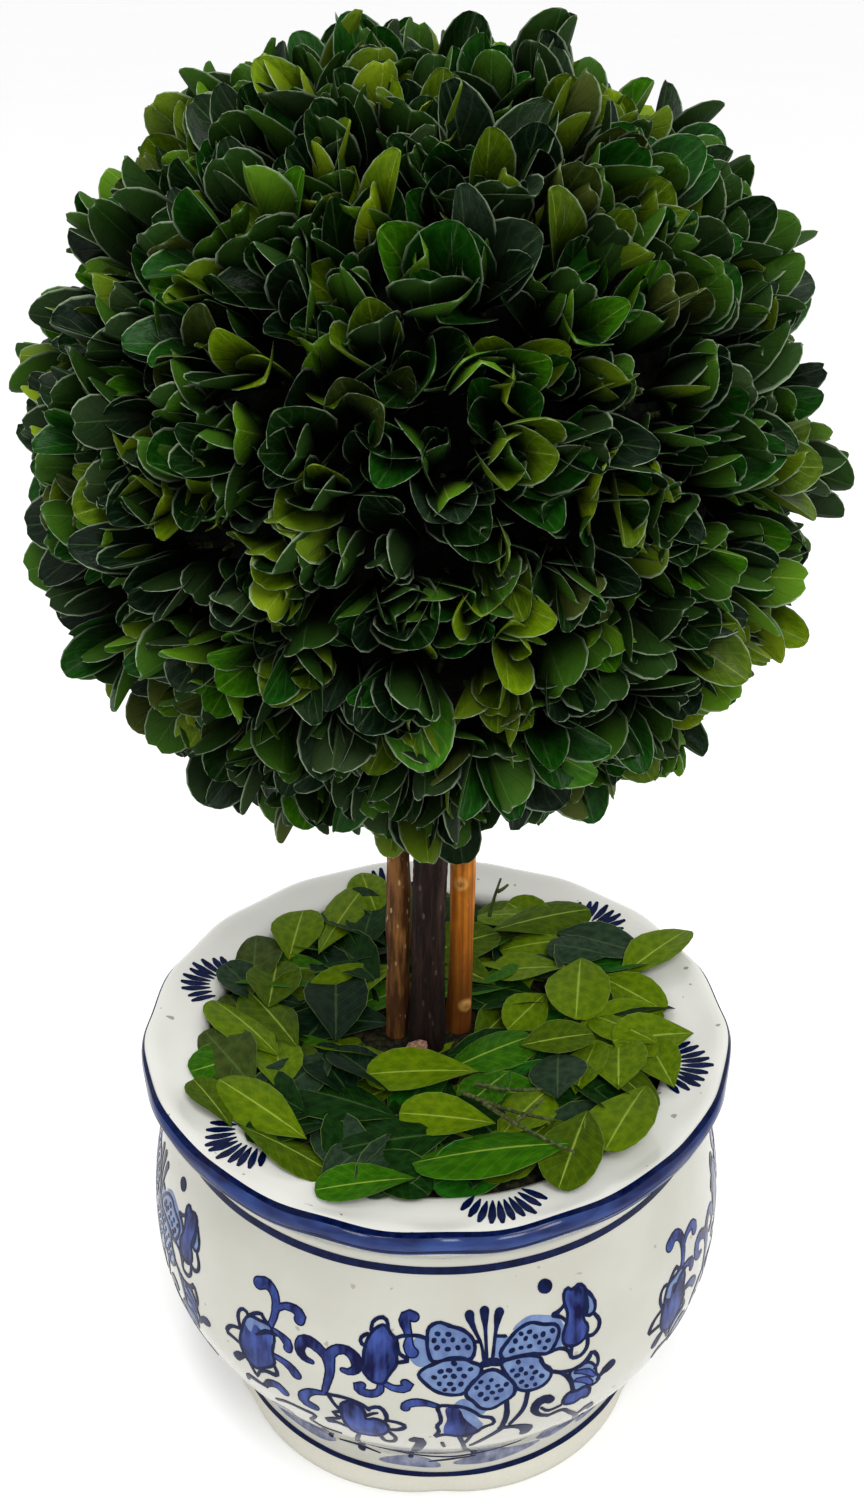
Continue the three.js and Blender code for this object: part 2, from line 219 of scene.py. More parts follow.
class NodeSheet:
    """Adds nodes to a tree in few words."""

    def __init__(self, tree: NodeTree) -> None:
        """Takes the tree that the nodes go into."""
        self.tree = tree

    def add(self, kind: str, inputs: dict[str | int, object] | None = None, **settings: object) -> bpy.types.Node:
        """Adds a node.

        Args:
            kind: The node's type name.
            inputs: Socket name or number, with a plain value or the socket that feeds it.
            **settings: The node's own options.

        Returns:
            The new node.
        """
        node = self.tree.nodes.new(kind)
        for option, value in settings.items():
            setattr(node, option, value)
        self.fill(node, inputs or {})
        return node

    def fill(self, node: bpy.types.Node, inputs: dict[str | int, object]) -> None:
        """Sets a node's inputs from plain values or other sockets.

        Args:
            node: The node to set.
            inputs: Values or sockets by name or number.
        """
        for name, value in inputs.items():
            if isinstance(value, Socket):
                self.tree.links.new(value, node.inputs[name])
            else:
                node.inputs[name].default_value = value

    def place(self) -> Socket:
        """Adds object coordinates."""
        return self.add("ShaderNodeTexCoord").outputs["Object"]

    def height(self, place: Socket) -> Socket:
        """Takes the height out of coordinates."""
        return self.add("ShaderNodeSeparateXYZ", {0: place}).outputs[2]

    def group(self, tree: NodeTree, **values: object) -> Sequence[Socket]:
        """Adds a shared group with its inputs set and gives its outputs."""
        return self.add("ShaderNodeGroup", values, node_tree=tree).outputs

    def math(self, operation: str, *values: object, clamp: bool = False) -> Socket:
        """Adds a Math node on values or sockets and gives its output."""
        return self.add("ShaderNodeMath", dict(enumerate(values)), operation=operation, use_clamp=clamp).outputs[0]

    def noise(self, vector: Socket, scale: object, detail: float = 2.0) -> Socket:
        """Adds a noise texture on a vector and gives its factor."""
        return self.add("ShaderNodeTexNoise", {"Vector": vector, "Scale": scale, "Detail": detail}).outputs["Fac"]

    def range(self, value: Socket, low: float, high: float, start: float = 0.0, end: float = 1.0) -> Socket:
        """Maps low to high smoothly onto start to end, clamped."""
        inputs = {"Value": value, 1: low, 2: high, 3: start, 4: end}
        return self.add("ShaderNodeMapRange", inputs, interpolation_type="SMOOTHSTEP").outputs[0]

    def stretch(self, vector: Socket, scale: Sequence[float]) -> Socket:
        """Scales a vector by axis with a Mapping node."""
        return self.add("ShaderNodeMapping", {"Vector": vector, "Scale": scale}).outputs[0]

    def scaled(self, vector: Socket, scale: Socket) -> Socket:
        """Scales a vector all ways by a socket."""
        return self.add("ShaderNodeVectorMath", {0: vector, "Scale": scale}, operation="SCALE").outputs[0]

    def mix(self, share: object, first: object, second: object, part: float = 1.0) -> Socket:
        """Mixes two colours by a share from 0 to 1, of which only a part counts.

        Args:
            share: How much of the second colour.
            first: Colour at 0.
            second: Colour at 1.
            part: How much of the share counts.

        Returns:
            The mixed colour.
        """
        if part != 1.0:
            share = self.math("MULTIPLY", share, part)
        return self.add("ShaderNodeMix", {0: share, 6: first, 7: second}, data_type="RGBA").outputs[2]


def shader_group(
    name: str, inputs: dict[str, float | None], outputs: Sequence[str], fill: Callable[[NodeSheet, Sockets], Sockets],
) -> NodeTree:
    """Builds a shader node group.

    Args:
        name: The group's name.
        inputs: Input names with their first values, or None for a vector input.
        outputs: Names of the outputs, each a number from 0 to 1.
        fill: Takes a NodeSheet and the input sockets by name, and gives the output sockets by name.

    Returns:
        The group's tree.
    """
    tree = bpy.data.node_groups.new(name, "ShaderNodeTree")
    for label, value in inputs.items():
        kind = "NodeSocketVector" if value is None else "NodeSocketFloat"
        socket = tree.interface.new_socket(label, in_out="INPUT", socket_type=kind)
        if value is not None:
            socket.default_value = value
    for label in outputs:
        tree.interface.new_socket(label, in_out="OUTPUT", socket_type="NodeSocketFloat")
    sheet = NodeSheet(tree)
    sources = {socket.name: socket for socket in sheet.add("NodeGroupInput").outputs if socket.name}
    sheet.add("NodeGroupOutput", fill(sheet, sources))
    return tree


class Effects:
    """The shader node groups that several finishes share, each built once."""

    def __init__(self) -> None:
        """Builds the groups."""
        self.glaze = shader_group("Glaze Surface", {"Vector": None, "Ripple": 260.0, "Tone": 55.0}, [
            "Height", "Clouds", "Specks",
        ], self._glaze)
        self.brush = shader_group("Brush Tone", {"Vector": None, "Scale": 300.0, "Contrast": 0.5}, [
            "Share",
        ], self._brush)
        self.bark = shader_group("Wood Streaks", {"Vector": None, "Scale": 420.0, "Stretch": 0.12}, [
            "Streaks", "Blotches", "Flecks",
        ], self._bark)
        self.leaf = shader_group("Leaf Pattern", {"Vector": None, "Veins": 7.0, "Margin": 0.07}, [
            "Rib", "Veins", "Margin", "Underside", "Mottle", "Base",
        ], self._leaf)

    @staticmethod
    def _glaze(sheet: NodeSheet, given: Sockets) -> Sockets:
        """Slow ripple, cloudy tone and a few specks of a fired glaze.

        Args:
            sheet: The nodes to add to.
            given: The group's inputs by name.

        Returns:
            The group's outputs by name.
        """
        return {
            "Height": sheet.noise(given["Vector"], given["Ripple"], 1),
            "Clouds": sheet.range(sheet.noise(given["Vector"], given["Tone"], 3), 0.3, 0.7),
            "Specks": sheet.range(sheet.noise(given["Vector"], 520, 0), 0.815, 0.85),
        }

    @staticmethod
    def _brush(sheet: NodeSheet, given: Sockets) -> Sockets:
        """Tone of a loaded brush: pools and thin places.

        Args:
            sheet: The nodes to add to.
            given: The group's inputs by name.

        Returns:
            The group's outputs by name.
        """
        scaled = sheet.scaled(given["Vector"], given["Scale"])
        pools = sheet.math("SUBTRACT", sheet.noise(scaled, 1, 3), 0.5)
        streaks = sheet.noise(sheet.stretch(scaled, (2.6, 2.6, 0.7)), 1, 2)
        both = sheet.math("SUBTRACT", sheet.math("MULTIPLY_ADD", pools, 1.6, streaks), 0.5)
        contrast = sheet.math("MULTIPLY", given["Contrast"], 3)
        return {"Share": sheet.math("MULTIPLY_ADD", both, contrast, 0.4, clamp=True)}

    @staticmethod
    def _bark(sheet: NodeSheet, given: Sockets) -> Sockets:
        """Long streaks, broad blotches and short pale flecks along the wood.

        Args:
            sheet: The nodes to add to.
            given: The group's inputs by name.

        Returns:
            The group's outputs by name.
        """
        scaled = sheet.scaled(given["Vector"], given["Scale"])
        tall = sheet.add("ShaderNodeCombineXYZ", {0: 1.0, 1: 1.0, 2: given["Stretch"]}).outputs[0]
        drawn = sheet.add("ShaderNodeVectorMath", {0: scaled, 1: tall}, operation="MULTIPLY").outputs[0]
        short = sheet.stretch(scaled, (1.3, 1.3, 0.5))
        fleck = sheet.add("ShaderNodeTexVoronoi", {"Vector": short, "Scale": 1.15}).outputs["Distance"]
        return {
            "Streaks": sheet.range(sheet.noise(drawn, 1.6, 4), 0.36, 0.64),
            "Blotches": sheet.range(sheet.noise(scaled, 0.28, 3), 0.35, 0.65),
            "Flecks": sheet.range(fleck, 0.2, 0.12),
        }

    @staticmethod
    def _leaf(sheet: NodeSheet, given: Sockets) -> Sockets:
        """Midrib, side veins, rim, mottle and painted shade towards the base: the upper face on the UV map's left half,
        the underside on its right.

        Args:
            sheet: The nodes to add to.
            given: The group's inputs by name.

        Returns:
            The group's outputs by name.
        """
        across_map, along, _ = sheet.add("ShaderNodeSeparateXYZ", {0: given["Vector"]}).outputs
        local = sheet.math("SUBTRACT", sheet.math("FRACT", sheet.math("MULTIPLY", across_map, 2)), 0.5)
        across = sheet.math("MULTIPLY", sheet.math("ABSOLUTE", local), 1 / LEAF_UV_HALF)
        rib_width = sheet.math("MULTIPLY_ADD", along, -0.05, 0.085)
        rows = sheet.math("MULTIPLY", along, given["Veins"])
        slanted = sheet.math("SUBTRACT", rows, sheet.math("MULTIPLY", across, 2.2))
        wave = sheet.math("SINE", sheet.math("MULTIPLY", slanted, 6.283))
        inside = sheet.math("SUBTRACT", 1, given["Margin"])
        side = sheet.math("DIVIDE", sheet.math("SUBTRACT", across, inside), given["Margin"], clamp=True)
        mottle = sheet.noise(sheet.stretch(given["Vector"], (9, 6, 1)), 1.6, 4)
        return {
            "Rib": sheet.math("SUBTRACT", 1, sheet.math("DIVIDE", across, rib_width, clamp=True)),
            "Veins": sheet.range(wave, 0.72, 1),
            "Margin": sheet.math("MAXIMUM", side, sheet.range(along, 0.965, 0.99)),
            "Underside": sheet.math("GREATER_THAN", across_map, 0.5),
            "Mottle": sheet.range(mottle, 0.32, 0.68),
            # Painted shade mask: full from the leaf's base to 0.42 of its length, fading out towards the tip.
            "Base": sheet.range(along, 1, 0.42),
        }


@cache
def shared_effects() -> Effects:
    """Makes the shared groups when the first finish asks for them."""
    return Effects()


def bumped(sheet: NodeSheet, height: Socket, depth: float) -> Socket:
    """Adds a Bump node of so many metres and gives its normal."""
    return sheet.add("ShaderNodeBump", {"Height": height, "Distance": depth, "Strength": 1.0}).outputs[0]


@dataclass(frozen=True)
class Finish:
    """A finish that is made as a node material with a Principled shader."""

    name: str

    def inputs(self, sheet: NodeSheet) -> dict[str, object]:
        """Lays the finish's nodes and gives the shader's inputs by name.

        Args:
            sheet: The nodes to add to.

        Returns:
            Plain values or sockets by the names of the shader's inputs.
        """
        raise NotImplementedError

    def material(self) -> Material:
        """Makes the material.

        Returns:
            The material.
        """
        material = bpy.data.materials.new(self.name)
        material.use_nodes = True
        sheet = NodeSheet(material.node_tree)
        sheet.fill(material.node_tree.nodes["Principled BSDF"], self.inputs(sheet))
        return material


@dataclass(frozen=True)
class GlazeFinish(Finish):
    """Clear-glazed white ware with an unglazed cream foot, and painted light that makes the rim whiter than the wall.
    """

    name: str = "white_glaze"
    pale: Colour = srgb(179, 178, 168)
    deep: Colour = srgb(172, 171, 160)
    # Painted light: the rim's glaze is whiter than the wall's, as if more light fell on it.
    rim: Colour = srgb(213, 213, 206)
    foot: Colour = srgb(200, 198, 185)
    foot_deep: Colour = srgb(190, 187, 173)
    speck: Colour = srgb(150, 146, 132)
    foot_heights: Point = (7.0 * MM, 6.6 * MM)
    rim_light_heights: Point = (86 * MM, 92 * MM)
    sheen: float = 0.4
    roughness: float = 0.13
    foot_roughness: float = 0.55

    def inputs(self, sheet: NodeSheet) -> dict[str, object]:
        """Lays the nodes on object coordinates.

        Args:
            sheet: The nodes to add to.

        Returns:
            The shader's inputs.
        """
        place = sheet.place()
        ripple, clouds, specks = sheet.group(shared_effects().glaze, Vector=place)
        height = sheet.height(place)
        bare = sheet.range(height, *self.foot_heights)
        tone = sheet.mix(clouds, self.deep, self.pale)
        # Painted light: whiter over the rim.
        tone = sheet.mix(sheet.range(height, *self.rim_light_heights), tone, self.rim)
        tone = sheet.mix(specks, tone, self.speck)
        foot = sheet.mix(sheet.noise(place, 1400, 3), self.foot, self.foot_deep)
        return {
            "Base Color": sheet.mix(bare, tone, foot), "Specular IOR Level": self.sheen,
            "Roughness": sheet.range(bare, 0, 1, self.roughness, self.foot_roughness),
            "Normal": bumped(sheet, ripple, GLAZE_RIPPLE),
        }


@dataclass(frozen=True)
class PaintFinish(Finish):
    """Cobalt painted under the glaze, from where it pooled to where it ran thin."""

    pooled: Colour
    thin: Colour
    contrast: float = 0.5
    scale: float = 300.0
    stretch: Spot = (1.0, 1.0, 1.0)
    sheen: float = 0.2
    roughness: float = 0.14

    def inputs(self, sheet: NodeSheet) -> dict[str, object]:
        """Lays the nodes on object coordinates, with the glaze's own ripple.

        Args:
            sheet: The nodes to add to.

        Returns:
            The shader's inputs.
        """
        place = sheet.place()
        ripple = sheet.group(shared_effects().glaze, Vector=place)["Height"]
        drawn = sheet.stretch(place, self.stretch)
        share = sheet.group(shared_effects().brush, Vector=drawn, Scale=self.scale, Contrast=self.contrast)["Share"]
        return {
            "Base Color": sheet.mix(share, self.pooled, self.thin), "Specular IOR Level": self.sheen,
            "Roughness": self.roughness, "Normal": bumped(sheet, ripple, GLAZE_RIPPLE),
        }


@dataclass(frozen=True)
class WoodFinish(Finish):
    """Bark or bare wood: two tones in streaks, blotches and pale flecks, with painted shade towards the foot."""

    dark: Colour
    light: Colour
    blotch: Colour
    fleck: Colour
    stretch: float
    fleck_share: float
    blotch_share: float
    roughness: float
    relief: float
    scale: float = 420.0
    # Painted shade towards the foot: its colour, its share and the heights over which it fades in.
    foot_shade: Colour | None = None
    foot_shade_share: float = 0.6
    foot_shade_heights: Point = (0.126, 0.099)
    knots: tuple[Spot, ...] = ()
    knot: Colour = srgb(58, 32, 14)
    knot_ring: Point = (2.2 * MM, 1.0 * MM)
    knot_heart: Point = (1.1 * MM, 0.3 * MM)
    sheen: float = 0.12

    def inputs(self, sheet: NodeSheet) -> dict[str, object]:
        """Lays the nodes on object coordinates, with painted shade that darkens the stick towards its foot.

        Args:
            sheet: The nodes to add to.

        Returns:
            The shader's inputs.
        """
        place = sheet.place()
        streaks, blotches, flecks = sheet.group(
            shared_effects().bark, Vector=place, Scale=self.scale, Stretch=self.stretch
        )
        tone = sheet.mix(streaks, self.dark, self.light)
        tone = sheet.mix(blotches, tone, self.blotch, self.blotch_share)
        tone = sheet.mix(flecks, tone, self.fleck, self.fleck_share)
        # Painted shade: darker towards the stick's foot.
        if self.foot_shade:
            foot_shaded = sheet.range(sheet.height(place), *self.foot_shade_heights, 0.0, self.foot_shade_share)
            tone = sheet.mix(foot_shaded, tone, self.foot_shade)
        for spot in self.knots:
            away = sheet.add("ShaderNodeVectorMath", {0: place, 1: spot}, operation="DISTANCE").outputs["Value"]
            tone = sheet.mix(sheet.range(away, *self.knot_ring, 0.0, 0.5), tone, self.fleck)
            tone = sheet.mix(sheet.range(away, *self.knot_heart, 0.0, 0.55), tone, self.knot)
        return {
            "Base Color": tone, "Specular IOR Level": self.sheen,
            "Roughness": sheet.range(streaks, 0, 1, self.roughness + 0.1, self.roughness),
            "Normal": bumped(sheet, streaks, self.relief),
        }


@dataclass(frozen=True)
class LeafFinish(Finish):
    """One tint of leaf, with a paler midrib, rim and underside, and painted shade that darkens it towards its base."""

    face: Colour
    deep: Colour
    rib: Colour
    rim: Colour
    underside: Colour
    margin: float
    veins: float
    vein_share: float
    rib_share: float
    painted_shade_share: float
    sheen: float
    roughness: float
    rim_share: float = 0.85
    # Near-black painted shade laid towards each leaf's base.
    base: Colour = (0.002, 0.004, 0.001, 1.0)
    back_roughness: float = 0.62
    relief: float = 0.00012

    def inputs(self, sheet: NodeSheet) -> dict[str, object]:
        """Lays the nodes on the leaf's own UV map.

        Args:
            sheet: The nodes to add to.

        Returns:
            The shader's inputs.
        """
        place = sheet.add("ShaderNodeUVMap", {}, uv_map=LEAF_UV).outputs[0]
        rib, veins, margin, underside, mottle, base = sheet.group(
            shared_effects().leaf, Vector=place, Margin=self.margin, Veins=self.veins
        )
        tone = sheet.mix(mottle, self.deep, self.face)
        tone = sheet.mix(veins, tone, self.rib, self.vein_share)
        tone = sheet.mix(underside, tone, self.underside)
        tone = sheet.mix(rib, tone, self.rib, self.rib_share)
        tone = sheet.mix(margin, tone, self.rim, self.rim_share)
        # Painted shade: each leaf darkens to near black towards its base, deep in the ball.
        tone = sheet.mix(base, tone, self.base, self.painted_shade_share)
        height = sheet.math("MULTIPLY_ADD", veins, -0.4, sheet.math("MULTIPLY", mottle, 0.5))
        return {
            "Base Color": tone, "Specular IOR Level": self.sheen,
            "Roughness": sheet.range(underside, 0, 1, self.roughness, self.back_roughness),
            "Normal": bumped(sheet, height, self.relief),
        }


@dataclass(frozen=True)
class CrumbFinish(Finish):
    """Crumbly dark matter: packed foam or litter, and the crown core's near-black painted shade."""

    dark: Colour
    light: Colour
    scale: float = 900.0
    sheen: float = 0.1
    roughness: float = 0.85
    relief: float = 0.0008

    def inputs(self, sheet: NodeSheet) -> dict[str, object]:
        """Lays the nodes on object coordinates.

        Args:
            sheet: The nodes to add to.

        Returns:
            The shader's inputs.
        """
        grain = sheet.noise(sheet.place(), self.scale, 4)
        return {
            "Base Color": sheet.mix(sheet.range(grain, 0.4, 0.68), self.dark, self.light),
            "Specular IOR Level": self.sheen, "Roughness": self.roughness,
            "Normal": bumped(sheet, grain, self.relief),
        }


@dataclass(frozen=True)
class PaperFinish(Finish):
    """The studio's white paper."""

    name: str = "floor_paper"
    dark: Colour = srgb(250, 250, 250)
    light: Colour = srgb(253, 253, 253)

    def inputs(self, sheet: NodeSheet) -> dict[str, object]:
        """Lays the nodes on object coordinates."""
        return {"Base Color": sheet.mix(sheet.noise(sheet.place(), 3, 2), self.dark, self.light), "Roughness": 0.9}


@dataclass
class PotShape:
    """The pot's turned surface: under the foot, up the wall, over the ruffled rim and down inside.

    Stations are radius and height. A place on the surface is an azimuth in radians and a
    distance along the outline in millimetres.
    """

    foot: tuple[Point, ...] = ((52, 0), (52.8, 0.8), (52.7, 3.5), (52, 6.4), (51.1, 8.8), (51.2, 11.4))
    wall: tuple[Point, ...] = (
        (52.8, 16), (57.4, 22.8), (62.1, 31), (65.1, 40), (65.7, 49), (64.8, 60), (62.7, 70), (60.4, 77.2),
        (59.6, 81.4),
    )
    rim: tuple[Point, ...] = (
        (60.4, 84.8), (62.6, 88), (64.5, 90.2), (65, 92), (64.4, 93.5), (62.8, 94.1), (58.5, 93), (51.6, 92), (51, 91),
    )
    inside: tuple[Point, ...] = ((51, 89), (55.6, 80), (60.2, 64), (60, 46), (55, 31), (47, 15), (42, 7))
    ruffles: tuple[tuple[int, float, float], ...] = ((17, 0.34, 17.0), (7, 0.12, 48.0), (4, 0.1, 20.0))
    ruffle_heights: Point = (86, 91)
    ruffle_radii: Point = (59, 63)
    ruffle_rise: float = 2.2
    ruffle_front: float = 0.4
    foot_lobes: tuple[int, float, float] = (3, 2.0, 241.0)
    lobe_heights: Point = (8, 3)
    lobe_radii: Point = (42, 50)
    lip_radius: float = 51.6
    columns: int = 272
    row_step: float = 1.5

    def __post_init__(self) -> None:
        """Samples the outline finely and notes the distance along it."""
        skin = smooth_line([*self.foot, *self.wall, *self.rim, *self.inside], 0.4)
        outline = np.vstack([[[0, 0], [30, 0]], skin, [[20, 7], [0, 7]]])
        self.radii, self.heights = outline.T
        steps = np.linalg.norm(np.diff(outline, axis=0), axis=1)
        self.along = np.concatenate([[0], np.cumsum(steps)])
        slope_r, slope_z = np.gradient(self.radii, self.along), np.gradient(self.heights, self.along)
        size = np.hypot(slope_r, slope_z)
        self.normal_r, self.normal_z = slope_z / size, -slope_r / size
        self.crest = int(np.argmax(self.heights))
        top = self.radii[self.crest:self.crest + 60]
        self.lip = self.crest + int(np.argmin(np.abs(top - self.lip_radius)))

    def wall_place(self, heights: np.ndarray) -> np.ndarray:
        """Gives the distance along the outline for heights on the outer wall and rim edge."""
        return np.interp(heights, self.heights[2:self.crest + 1], self.along[2:self.crest + 1])

    def top_place(self, radii: np.ndarray) -> np.ndarray:
        """Gives the distance along the outline for radii on the rim's flat top."""
        span = slice(self.crest, self.lip + 1)
        return np.interp(radii, self.radii[span][::-1], self.along[span][::-1])

    def place(self, azimuth: np.ndarray, along: np.ndarray, lift: float | np.ndarray = 0.0) -> np.ndarray:
        """Finds points on the surface.

        Args:
            azimuth: Angles round the pot, counterclockwise from +X.
            along: Distances along the outline.
            lift: Height over the surface.

        Returns:
            Points in millimetres, the axes last.
        """
        radius = np.interp(along, self.along, self.radii)
        height = np.interp(along, self.along, self.heights)
        wave = sum(size * np.cos(count * (azimuth - math.radians(crest))) for count, size, crest in self.ruffles)
        weight = smoothstep(height, *self.ruffle_heights) * smoothstep(radius, *self.ruffle_radii)
        weight = weight * (1 - self.ruffle_front * (1 + np.sin(azimuth)))
        count, size, crest = self.foot_lobes
        lobe = np.sqrt(np.cos(count * (azimuth - math.radians(crest))) ** 2 + 0.01) ** 0.6
        lobes = size * (lobe - 1) * smoothstep(height, *self.lobe_heights) * smoothstep(radius, *self.lobe_radii)
        radius = radius + lift * np.interp(along, self.along, self.normal_r) + wave * weight + lobes
        height = height + lift * np.interp(along, self.along, self.normal_z) + self.ruffle_rise * wave * weight
        return np.stack([radius * np.cos(azimuth), radius * np.sin(azimuth), height], axis=-1)

    def build(self, finish: GlazeFinish) -> None:
        """Makes the glazed pot.

        Args:
            finish: The glaze.
        """
        rows = np.linspace(0, self.along[-1], round(self.along[-1] / self.row_step))
        azimuth = np.linspace(0, 2 * math.pi, self.columns, endpoint=False)
        rings = self.place(azimuth[None, :], rows[:, None])
        piece = turned_piece("pot_glazed", rings, finish.material())
        settle(piece, "pot_glaze", "pot")


class Tone(Enum):
    """Brush tones of the painting, laid from the faintest to the darkest."""

    SHADE = "shade"
    WASH = "wash"
    STRIPE = "stripe"
    BODY = "body"
    LINE = "line"


TONE_LIFT = {Tone.SHADE: 0.05, Tone.WASH: 0.06, Tone.STRIPE: 0.08, Tone.BODY: 0.10, Tone.LINE: 0.14}


@dataclass
class Paint:
    """Collects bits of paint on the pot's surface and makes one thin closed piece of each tone."""

    shape: PotShape
    sink: float = 0.3
    points: dict[Tone, list[np.ndarray]] = field(default_factory=lambda: {tone: [] for tone in Tone})
    lifts: dict[Tone, list[np.ndarray]] = field(default_factory=lambda: {tone: [] for tone in Tone})
    faces: dict[Tone, Faces] = field(default_factory=lambda: {tone: [] for tone in Tone})
    count: dict[Tone, int] = field(default_factory=lambda: {tone: 0 for tone in Tone})

    def lay(self, tone: Tone, places: np.ndarray, faces: Faces, lift: float = 0.0) -> None:
        """Lays one bit of paint.

        Args:
            tone: The brush tone.
            places: Azimuth and distance along the outline of each point.
            faces: Corner numbers, counterclockwise as seen from outside.
            lift: Height over the tone's own height.
        """
        start, size = self.count[tone], len(places)
        edges = {(a, b) for face in faces for a, b in zip(face, face[1:] + face[:1])}
        self.points[tone] += [places, places]
        self.lifts[tone] += [np.full(size, TONE_LIFT[tone] + lift), np.full(size, -self.sink)]
        for face in faces:
            self.faces[tone].append(tuple(start + corner for corner in face))
            self.faces[tone].append(tuple(start + size + corner for corner in reversed(face)))
        for a, b in sorted(edges):
            if (b, a) not in edges:
                self.faces[tone].append((start + b, start + a, start + size + a, start + size + b))
        self.count[tone] += 2 * size

    def ribbon(
        self, tone: Tone, line: np.ndarray, halves: np.ndarray, closed: bool, to_place: Placing, lift: float = 0.0,
    ) -> None:
        """Lays a brush line.

        Args:
            tone: The brush tone.
            line: Points along the middle, in the drawing's own millimetres.
            halves: Half the width at each point.
            closed: Whether the line runs back to its start.
            to_place: Turns drawing points into azimuths and distances.
            lift: Height over the tone's own height.
        """
        if closed:
            run = np.roll(line, -1, axis=0) - np.roll(line, 1, axis=0)
        else:
            run = np.gradient(line, axis=0)
        run /= np.maximum(np.linalg.norm(run, axis=1, keepdims=True), 1e-9)
        if not closed:
            bends = np.radians([78, 52, 26])[:, None]
            head = line[0] - run[0] * halves[0] * np.sin(bends)
            tail = line[-1] + run[-1] * halves[-1] * np.sin(bends[::-1])
            cap = np.cos(bends[:, 0])
            line = np.vstack([head, line, tail])
            run = np.vstack([np.repeat(run[:1], 3, axis=0), run, np.repeat(run[-1:], 3, axis=0)])
            halves = np.concatenate([halves[0] * cap, halves, halves[-1] * cap[::-1]])
        side = np.column_stack([-run[:, 1], run[:, 0]]) * halves[:, None]
        pairs = np.stack([line - side, line + side], axis=1).reshape(-1, 2)
        size = len(line)
        faces = []
        for i in range(size if closed else size - 1):
            a, b = 2 * i, 2 * ((i + 1) % size)
            faces.append((a, b, b + 1, a + 1))
        self.lay(tone, to_place(pairs), faces, lift)

    def fill(self, tone: Tone, outline: np.ndarray, to_place: Placing, step: float = 2.4) -> None:
        """Fills a closed outline, with points inside it so that it follows the surface.

        Args:
            tone: The brush tone.
            outline: Points of a closed edge.
            to_place: Turns drawing points into azimuths and distances.
            step: Distance between the points inside.
        """
        low, high = outline.min(axis=0), outline.max(axis=0)
        xs, ys = np.arange(low[0] + step / 2, high[0], step), np.arange(low[1] + step / 2, high[1], step)
        inner = [(x, y) for x in xs for y in ys if inset(outline, (x, y)) > 0.5]
        size = len(outline)
        ring = [(i, (i + 1) % size) for i in range(size)]
        made = geometry.delaunay_2d_cdt([Vector(p) for p in [*map(tuple, outline), *inner]], ring, [], 1, 1e-6)
        points = np.array([tuple(p) for p in made[0]])
        faces = []
        for a, b, c in made[2]:
            turn = np.cross(points[b] - points[a], points[c] - points[a])
            faces.append((a, b, c) if turn > 0 else (a, c, b))
        self.lay(tone, to_place(points), faces)

    def build(self, finishes: dict[Tone, PaintFinish]) -> None:
        """Makes one piece of each tone.

        Args:
            finishes: The finish of each tone.
        """
        for tone in Tone:
            places, lifts = np.vstack(self.points[tone]), np.concatenate(self.lifts[tone])
            points = self.shape.place(*places.T, lifts)
            piece = make_piece(f"paint_{tone.value}", points, self.faces[tone], finishes[tone].material())
            rim = piece.data.attributes.new("sharp_edge", "BOOLEAN", "EDGE")
            top = lifts > 0
            ends = np.empty(2 * len(piece.data.edges), int)
            piece.data.edges.foreach_get("vertices", ends)
            used = np.zeros(len(piece.data.edges), int)
            for polygon in piece.data.polygons:
                if all(top[v] for v in polygon.vertices):
                    for loop in polygon.loop_indices:
                        used[piece.data.loops[loop].edge_index] += 1
            rim.data.foreach_set("value", used == 1)
            settle(piece, "pot_glaze")


def inset(outline: np.ndarray, point: Point) -> float:
    """Gives how far a point lies inside a closed outline, or a negative distance outside it.

    Args:
        outline: Points of a closed edge.
        point: The point to measure.

    Returns:
        The distance to the edge, negative outside.
    """
    start, end = outline, np.roll(outline, -1, axis=0)
    edge, offset = end - start, np.asarray(point) - start
    share = np.clip((edge * offset).sum(axis=1) / np.maximum((edge * edge).sum(axis=1), 1e-12), 0, 1)
    distance = np.linalg.norm(offset - edge * share[:, None], axis=1).min()
    above = (start[:, 1] > point[1]) != (end[:, 1] > point[1])
    crossing = start[:, 0] + (point[1] - start[:, 1]) / np.where(above, end[:, 1] - start[:, 1], 1) * edge[:, 0]
    inside = np.count_nonzero(above & (point[0] < crossing)) % 2
    return distance if inside else -distance


@dataclass(frozen=True)
class Stroke:
    """One open brush line of the wall's painting: points across and up, and widths along it."""

    points: tuple[Point, ...]
    widths: tuple[float, ...] = (0.8, 0.8)
    body: bool = False


@dataclass(frozen=True)
class Shape:
    """One closed shape of the wall's painting, with its filling tone and outline width."""

    points: tuple[Point, ...]
    tone: Tone | None = Tone.BODY
    outline: float = 0.75
    dots: bool = False


